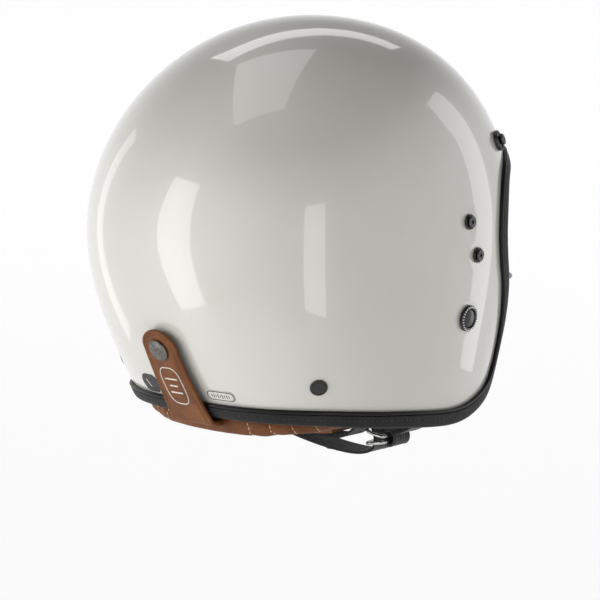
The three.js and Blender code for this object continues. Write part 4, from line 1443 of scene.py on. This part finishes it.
def visor_lens():
    outer, inner = visor_surface(0.0), visor_surface(VISOR_THICK)
    columns = min(outer.shape[1], inner.shape[1])
    trim = [(s.shape[1] - columns) // 2 for s in (outer, inner)]
    outer = outer[:, trim[0] : trim[0] + columns]
    inner = inner[:, trim[1] : trim[1] + columns]
    lower = (outer[0] + inner[0]) / 2 + (outer[0] - outer[1]) * 0.12
    upper = (outer[-1] + inner[-1]) / 2 + (outer[-1] - outer[-2]) * 0.12
    rows = np.concatenate([outer, upper[None], inner[::-1], lower[None]])
    section = rows.transpose(1, 0, 2)
    lens = loft("tinted_lens", section, LENS, merge=0, smooth=60)
    place(lens, "sun_visor", "visor_tint", "visor_lens")


def visor_lever():
    """A thin lever that reaches forward and down past the trim, with a rounded fingertip end."""
    right_side = range(int(0.7 * STATIONS), int(0.92 * STATIONS))
    place_on_edge = min(right_side, key=lambda i: abs(EDGE[i, 2] - LEVER_Z))
    origin = EDGE[place_on_edge] - EDGE_OUT[place_on_edge] * LEVER_DEPTH
    origin = origin + EDGE_PAST[place_on_edge] * LEVER_ROOT
    along = np.array([0, -math.cos(LEVER_DROOP), -math.sin(LEVER_DROOP)])
    across = np.cross([1, 0, 0], along)
    turn = full_turn(24)
    rows = []
    # distance along the lever, half width and half thickness
    shape = [(0, 1.6, 0.4), (0.3, 2.1, 0.7), (8, 2.2, 0.8), (22, 2.0, 0.8), (26, 1.7, 0.85)]
    shape += [(31, 1.7, 1.15), (34.5, 1.8, 1.25), (36.2, 1.55, 1.1), (36.8, 1.0, 0.7), (37, 0.4, 0.3)]
    for reach, wide, thick in shape:
        a = wide * squared(np.cos(turn), 0.6)
        b = thick * squared(np.sin(turn), 0.6)
        rows.append(origin + along * reach + a[:, None] * across + b[:, None] * [1, 0, 0])
    lever = loft("lever_blade", np.array(rows), GREY_PLASTIC, smooth=40)
    place(lever, "visor_lever", "grey_plastic", "visor_lever")


# ---------------- chin strap


def strap_section(width, thick):
    """A band's section, across and through it, with fuller woven edges."""
    half, t = width / 2, thick / 2
    outline = [(-half, 0), (-half + 0.3, t * 0.95), (-half + 1.4, t), (-half + 2.2, t * 0.8)]
    outline += [(-half / 3, t * 0.85), (half / 3, t * 0.85), (half - 2.2, t * 0.8), (half - 1.4, t)]
    outline += [(half - 0.3, t * 0.95), (half, 0)]
    back = [(a, -b) for a, b in outline[-2:0:-1]]
    return np.array(outline + back)


def band(name, path, width, thick, look, spacing=1.6, closed=False):
    """A flat band that follows a line in x and z, with its width along Y. It gives the piece,
    the line and the line's normals."""
    fine = spline(path, 20, closed)
    length = np.linalg.norm(np.diff(fine, axis=0), axis=1).sum()
    line = resample(fine, max(int(length / spacing), 12), closed)
    side = left_of(directions(line, closed))
    section = strap_section(width, thick)
    flat = line[:, None, :] + section[None, :, 1, None] * side[:, None, :]
    y = np.broadcast_to(STRAP_Y + section[:, 0], flat.shape[:2])
    points = np.stack([flat[..., 0], y, flat[..., 1]], -1)
    travel = np.arange(len(line)) * length / len(line)
    uvs = np.stack(np.broadcast_arrays(section[None, :, 0], travel[:, None]), -1)
    return loft(name, points, look, wrap_rows=closed, merge=0, smooth=50, uvs=uvs), line, side


def hung_strap(piece, *nodes):
    """Hides a strap's CAD pieces and bakes the strap's placement into its mesh, leaving it on no body."""
    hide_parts(*nodes)
    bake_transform(piece)


HANGER_PATH = [(113, -54), (106, -66.6), (98, -81), (90.5, -94), (86.2, -104), (83.6, -120)]
LONG_PATH = HANGER_PATH + [
    (72, -134), (46, -148), (10, -155), (-22, -157), (-39, -153.5), (-43.5, -146),
    (-40.5, -136.8), (-33, -134.4), (-25.5, -139.5), (-12, -147.5), (12, -150),
]
SHORT_PATH = [(-x, z) for x, z in HANGER_PATH] + [
    (-77, -130), (-66, -136.6), (RING_LEFT - 4.4, RING_Z + 3.6),
]
CHIN_PAD_PATH = [(57, -136.8), (42, -143.4), (14, -146.3), (-6, -144.2)]


def d_ring(name, z, tilt, node):
    """A steel ring with one straight side, at a level and tipped by an angle in degrees."""
    half, bar, tip = 14.5, 1.3, math.pi / 2
    bow = [(6 + 16 * math.cos(a), half * math.sin(a)) for a in np.linspace(tip, -tip, 25)]
    outline = rounded([(0, -half), (0, half)] + bow, 4.0, 8)
    line = resample(outline, 120, closed=True)
    out = -left_of(directions(line, closed=True))
    turn = full_turn(14)
    flat = line[:, None, :] + bar * np.cos(turn)[None, :, None] * out[:, None, :]
    height = np.broadcast_to(bar * np.sin(turn), flat.shape[:2])
    lean = math.radians(tilt)
    x = flat[..., 0] * math.cos(lean) + height * math.sin(lean)
    up = -flat[..., 0] * math.sin(lean) + height * math.cos(lean)
    points = np.stack([RING_LEFT + x, STRAP_Y + flat[..., 1], z + up], -1)
    ring = loft(name, points, STEEL, wrap_rows=True, merge=0, smooth=80)
    place(ring, "chin_strap", "steel", node)


def bar_tacks(line, side, at):
    """Short rows of stitches across a strap, at shares of its length."""
    centres, along, out = [], [], []
    for share in at:
        i = int(share * (len(line) - 1))
        for k in range(-3, 4):
            lift = line[i] + side[i] * 0.95
            centres.append((lift[0], STRAP_Y + k * STRAP_WIDTH / 8, lift[1]))
            along.append((0, 1, 0))
            out.append((side[i][0], 0, side[i][1]))
    return stitches("strap_tacks", centres, along, out, BLACK_THREAD, 2.2, 0.35)


def chin_webbing():
    long_strap, line, side = band("webbing_left", LONG_PATH, STRAP_WIDTH, STRAP_THICK, WEBBING)
    hung_strap(long_strap, "strap_long", "strap_hanger_left")
    place(bar_tacks(line, -side, (0.40, 0.415, 0.9, 0.985)), "chin_strap", "webbing")
    short_strap, _, _ = band("webbing_right", SHORT_PATH, STRAP_WIDTH, STRAP_THICK, WEBBING)
    hung_strap(short_strap, "strap_short", "strap_hanger_right")
    turn = full_turn(16)
    around_bars = np.stack([RING_LEFT + 4.75 * np.cos(turn), RING_Z + 5.4 * np.sin(turn)], 1)
    loop, _, _ = band("webbing_loop", around_bars, STRAP_WIDTH - 5, 1.7, WEBBING, 1.0, closed=True)
    place(loop, "chin_strap", "webbing", "ring_loop")


def chin_pad():
    pad, line, side = band("leather_chin_pad", CHIN_PAD_PATH, STRAP_WIDTH + 3, 3.2, TAN_LEATHER)
    place(pad, "chin_strap", "tan_leather", "chin_pad")
    centres, along = [], []
    run = directions(line)
    for edge in (-1, 1):
        for i in range(2, len(line) - 2, 2):
            top = line[i] + side[i] * 1.5 * (1 if side[i][1] > 0 else -1)
            centres.append((top[0], STRAP_Y + edge * (STRAP_WIDTH / 2 - 1), top[1]))
            along.append((run[i][0], 0, run[i][1]))
    out = np.tile([0, 0, 1], (len(centres), 1))
    sewn = stitches("chin_pad_stitches", centres, along, out, TAN_THREAD, 2.1, 0.3)
    place(sewn, "chin_strap", "tan_leather")


def strap_keeper():
    """The press snap that keeps the strap's free end."""
    low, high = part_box("strap_snap")
    centre = (np.array(low) + np.array(high)) / 2 / MM
    profile = [(0, -1.05), (5, -1.05), (5, 0), (4.5, 0.55), (3.6, 0.95), (2.9, 0.7)]
    profile += [(1.4, 0.85), (0, 0.9)]
    rings = turned_points(rounded(profile, 0.3, 3, closed=False), 48) * [1, 1, -1] + centre
    faces = grid_faces(len(rings), 48, False, True)
    keeper = make_mesh("strap_keeper", rings, faces, GLOSS_BLACK, 40, 0.001)
    place(keeper, "chin_strap", "gloss_black", "strap_snap")


# ---------------- CAD pieces that stay


def dress(node, look, width=0.3):
    """A CAD piece keeps its shape, and gets a finish and softened edges."""
    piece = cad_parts[node]
    piece.data.materials.clear()
    piece.data.materials.append(look)
    bevel = piece.modifiers.new("soft_edges", "BEVEL")
    bevel.width = width * MM
    bevel.segments = 2
    bevel.limit_method = "ANGLE"
    bevel.angle_limit = math.radians(35)


def dress_frame():
    for side in ("left", "right"):
        dress("cheek_foam_" + side, FOAM, 1.2)
        dress("visor_pin_" + side, BLACK_PLASTIC)
        dress("visor_hub_" + side, BLACK_PLASTIC)
        dress("strap_plate_" + side, STEEL)
    dress("lever_track", BLACK_PLASTIC)


# ---------------- the helmet

outer_shell()
leather_trim()
trim_piping()
for snap_name in SNAPS:
    snap(snap_name)
for side_name in ("left", "right"):
    rivet_cap(side_name)
    rear_plug(side_name)
labels()
goggle_tab()
tab_print()
tab_button()
tab_snap()
impact_liner()
comfort_lining()
neck_roll()
cheek_cushions()
nape_cushion()
visor_lens()
visor_lever()
chin_webbing()
d_ring("ring_upper", RING_Z + RING_GAP, -6, "d_ring_upper")
d_ring("ring_lower", RING_Z - RING_GAP, 12, "d_ring_lower")
chin_pad()
strap_keeper()
dress_frame()
